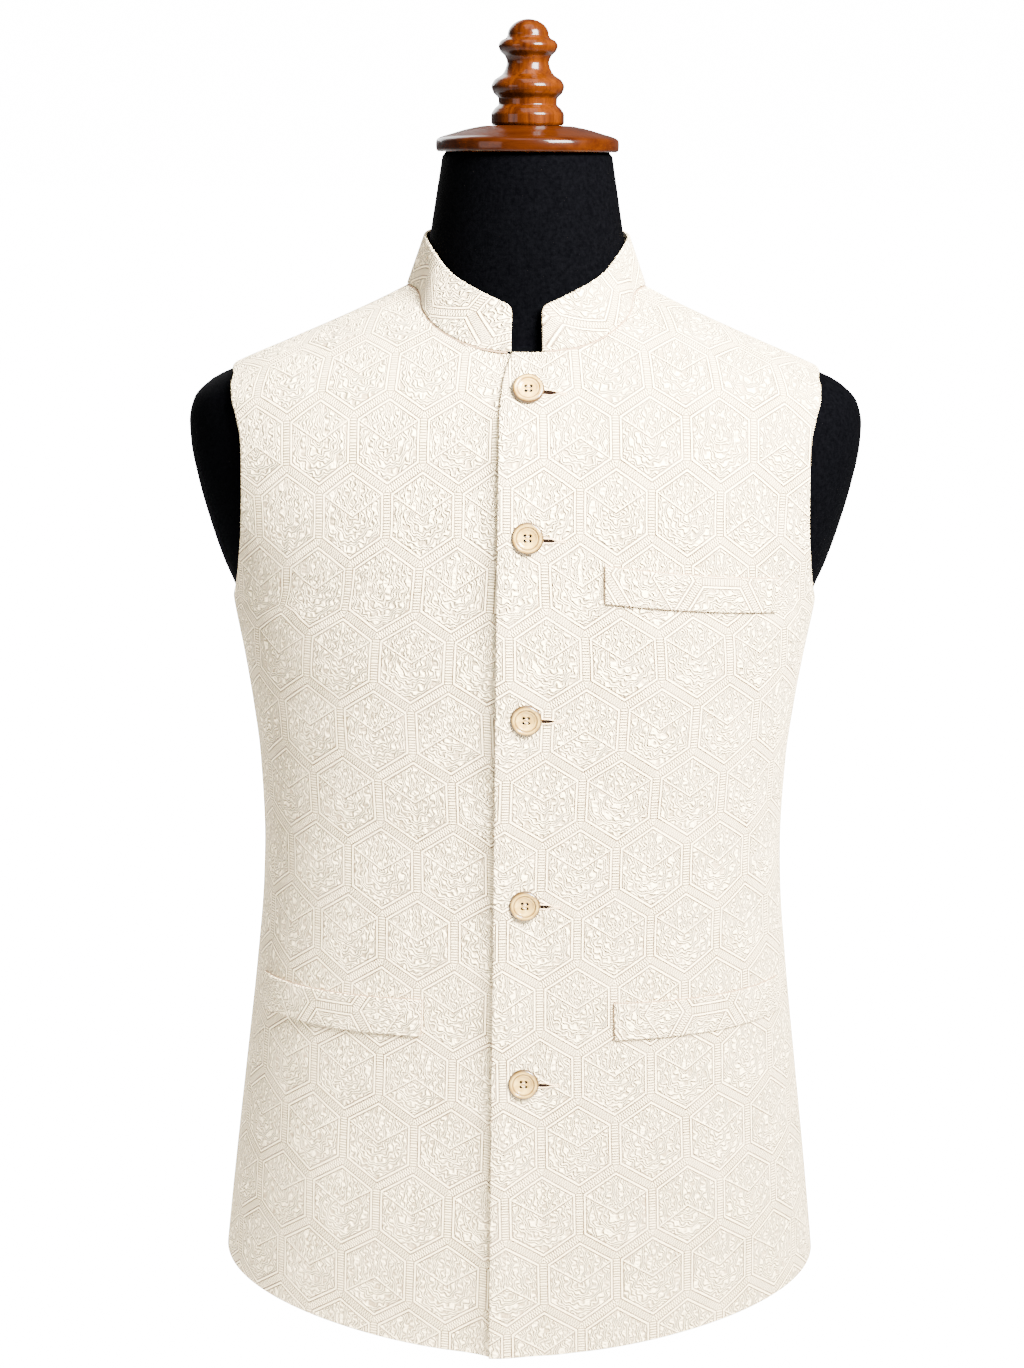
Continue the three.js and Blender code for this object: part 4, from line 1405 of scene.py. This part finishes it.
def dark_slit():
    material, nodes = new_material("shadow of the slit")
    grain = nodes.noise(nodes.here(), 800, 2)
    colour = nodes.mix(grain, (0.002, 0.0008, 0.0004, 1), (0.006, 0.003, 0.0015, 1))
    nodes.shade(Base_Color=colour, Roughness=0.9, Specular_IOR_Level=0.02)
    return material


slit_shadow = dark_slit()


def make_buttonhole(number, z):
    """The lips stand 1.3 mm off the middle at the button, and close past the middle of the slit."""
    share = np.linspace(0, 1, HOLE_POINTS)
    x = BUTTON_X + np.linspace(HOLE_START, HOLE_END, HOLE_POINTS)
    middle_z = z - HOLE_DROP * share
    parted = LEAST_PARTED + MOST_PARTED * (1 - smoothstep(share, 0.45, 0.8))
    stitch = 1 + 0.16 * np.sin(share * 2 * math.pi * STITCHES)
    size = LIP_RADIUS * stitch * np.sqrt(np.clip(1 - (2 * share - 1) ** 14, 0, 1))
    off_middle = parted + LIP_GAP
    cords = [tube(on_front(x, middle_z + side * off_middle, 0.22), size, 10) for side in (-1, 1)]
    bar_z = z - HOLE_DROP + np.linspace(-1.4, 1.4, HOLE_POINTS)
    bar_size = 0.5 * stitch * np.sin(math.pi * share) ** 0.3
    cords.append(tube(on_front(x[-1:] + 0 * bar_z, bar_z, 0.25), bar_size, 10))
    lips = make_piece(f"buttonhole_{number}", *bundle(np.stack(cords)), thread)
    across = np.linspace(-1, 1, 5)[:, None]
    open_half = parted * np.clip(1 - share, 0, 1) ** 0.2
    slit = on_front(x[None] + 0 * across, middle_z + across * open_half, 0.12)
    slit_quads = cells(5, HOLE_POINTS)
    slit_piece = make_piece(f"buttonhole_slit_{number}", slit.reshape(-1, 3), slit_quads, slit_shadow)
    for piece in (lips, slit_piece):
        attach(piece, "root")


for number, z in enumerate(BUTTON_HEIGHTS, 1):
    make_buttonhole(number, z - 1.4)

# %% [markdown]
# ## Varnished wood
# The cap and the finial are turned from one wood and varnished. Grain runs up the finial and across the
# cap. The cap's copy of the wood is painted darker, a painted shade against the light on its top. Stretched
# noise gives the streaks, a finer one the pores, and a clear coat gives the small sharp highlights.

# %% Wood
def varnished_wood(name, stretch, light):
    """Streaks from a dark brown to the light one, with dark pores."""
    material, nodes = new_material(name)
    drawn = nodes.add("ShaderNodeMapping", {"Vector": nodes.here(), "Scale": stretch}).outputs[0]
    streak = nodes.noise(drawn, 1, 6, {"Roughness": 0.65, "Distortion": 0.8})
    pores = nodes.noise(drawn, 7, 3)
    colour = nodes.mix(nodes.spread(streak, 0.32, 0.68), (0.006, 0.0008, 0.0, 1), light)
    dark = nodes.line(pores, 0.36, 0.06)
    colour = nodes.mix(nodes.times(dark, 0.5), colour, (0.009, 0.0017, 0.0003, 1))
    nodes.shade(Base_Color=colour, Roughness=0.32, Normal=nodes.bump(streak, 0.0002, 0.15),
                Coat_Weight=0.16, Coat_Roughness=0.07, Specular_IOR_Level=0.02)
    return material


wood_upright = varnished_wood("varnished wood upright", (90, 90, 9), (0.034, 0.0070, 0.0002, 1))
# the cap's copy is darker: painted shade against the light on its upward face
shaded_wood_across = varnished_wood("varnished wood across", (12, 70, 70), (0.019, 0.0038, 0.0001, 1))
print("wood materials:", wood_upright.name, shaded_wood_across.name)

# %% [markdown]
# ## Neck cap and finial
# Both are lathe work: a profile of radius and height is turned round the neck's axis. The finial's beads
# and coves come from a table of radii, and the dome on top is a quarter of an ellipse.

# %% Neck cap and finial
CAP_FOOT = 861
# radius, height above the foot
CAP_PROFILE = np.array([
    [0, 0],
    [62.4, 0],
    [64.2, 1.6],
    [64.4, 5],
    [64, 8],
    [62.2, 9.6],
    [53, 12.6],
    [39, 16.4],
    [28, 18],
    [0, 18],
])
FINIAL_FOOT = 879.3
# height above the foot, radius
FINIAL_TURNING = np.array([
    [0, 24.6],
    [2, 25.6],
    [7, 25.6],
    [11, 23.6],
    [14.5, 20.4],
    [18, 20.6],
    [22.2, 24.1],
    [26.3, 25.5],
    [30.5, 23.7],
    [34.6, 18.1],
    [38.7, 15.7],
    [42.8, 14.7],
    [46.9, 16.1],
    [50.6, 19.6],
    [54, 20.7],
    [57.2, 19.2],
    [59.4, 15.4],
    [61.2, 14.4],
])
DOME_FOOT = 61.2
DOME_RADIUS = 14.4
DOME_HEIGHT = 11


def turned(name, radius, height, foot, material, turns=128):
    """x = r sin, y = -r cos, z = foot + h for every point of the profile and every turn."""
    turn = np.linspace(0, 2 * math.pi, turns + 1)[None]
    points = around(radius[:, None], turn, foot + height[:, None])
    return make_piece(name, points.reshape(-1, 3), cells(*points.shape[:2]), material)


cap_radius, cap_height = smooth_profile(CAP_PROFILE, 110)
cap = turned("wooden_neck_cap", cap_radius, cap_height, CAP_FOOT, shaded_wood_across)
stand_in(cap, "varnished_wood", "neck_cap")

stem_height = np.linspace(0, DOME_FOOT, 150)
stem_radius = read(FINIAL_TURNING, stem_height, 1)[0]
dome = np.linspace(0, QUARTER, 24)[1:]
finial_radius = np.concatenate([[0, 12], stem_radius, DOME_RADIUS * np.cos(dome)])
finial_height = np.concatenate([[0, 0], stem_height, DOME_FOOT + DOME_HEIGHT * np.sin(dome)])
finial_radius[-1] = 0
finial = turned("wooden_finial", finial_radius, finial_height, FINIAL_FOOT, wood_upright)
stand_in(finial, "varnished_wood", "finial")

# %% [markdown]
# ## Floor, light and air
# A pale floor and a bright room stand for the white studio sweep. The main lamp stands high on the right,
# as the shaded left side of the cloth shows, and is gathered so that the relief casts shade. Weaker lamps
# stand on the left, above and behind. Floor and room glow for the camera alone: as lamps they would wash
# the relief out.

# %% Stage
BACKDROP_GLOW = 16
ROOM_LIGHT = 0.4


def make_floor():
    """A flat ring of points round the object, out to 60 m, so that no edge shows."""
    radius = np.array([0, 0.5, 2, 8, 60]) / MM
    turn = np.linspace(0, 2 * math.pi, 49)[None]
    points = around(radius[:, None], turn, 0 * radius[:, None] - 0.2)
    material, nodes = new_material("pale floor")
    colour = nodes.mix(nodes.noise(nodes.here(), 3, 2), (0.74, 0.74, 0.74, 1), (0.78, 0.78, 0.78, 1))
    seen = nodes.add("ShaderNodeLightPath").outputs["Is Camera Ray"]
    glow = nodes.times(seen, BACKDROP_GLOW)
    nodes.shade(Base_Color=colour, Roughness=0.9, Emission_Color=(1, 1, 1, 1), Emission_Strength=glow)
    return make_piece("floor", points.reshape(-1, 3), cells(*points.shape[:2]), material)


make_floor()


def area_light(name, place, aim, size, power, spread=math.pi):
    """A square lamp that faces its aim. A spread under half a turn gathers its light round the aim."""
    data = bpy.data.lights.new(name, "AREA")
    data.shape = "SQUARE"
    data.size = size
    data.energy = power
    data.spread = spread
    lamp = bpy.data.objects.new(name, data)
    bpy.context.scene.collection.objects.link(lamp)
    ahead = np.array(aim) - np.array(place)
    side = unit(np.cross(ahead, (0.0, 0.0, 1.0)))
    up = unit(np.cross(side, ahead))
    back = -unit(ahead)
    lamp.matrix_world = Matrix(np.vstack([np.column_stack([side, up, back, place]), (0, 0, 0, 1)]).tolist())


area_light("key right", (1.1, -1.2, 1.8), (0, 0, 0.95), 1.0, 268, math.radians(80))
area_light("fill left", (-2.2, -2.0, 1.0), (0, 0, 0.5), 1.6, 60)
area_light("top", (0.1, -0.5, 2.6), (0, 0, 0.6), 1.2, 40)
area_light("back", (-1.2, 2.4, 1.9), (0, 0, 0.5), 1.6, 110)

world = bpy.data.worlds.new("white room")
bpy.context.scene.world = world
world.use_nodes = True
air = Nodes(world.node_tree)
seen = air.add("ShaderNodeLightPath").outputs["Is Camera Ray"]
strength = air.spread(seen, 0, 1, ROOM_LIGHT, BACKDROP_GLOW)
sky = air.add("ShaderNodeBackground", {"Color": (1, 1, 1, 1), "Strength": strength})
world.node_tree.links.new(sky.outputs[0], world.node_tree.nodes["World Output"].inputs[0])
print("picture look:", bpy.context.scene.view_settings.view_transform)
print("lamps:", len(bpy.data.lights))
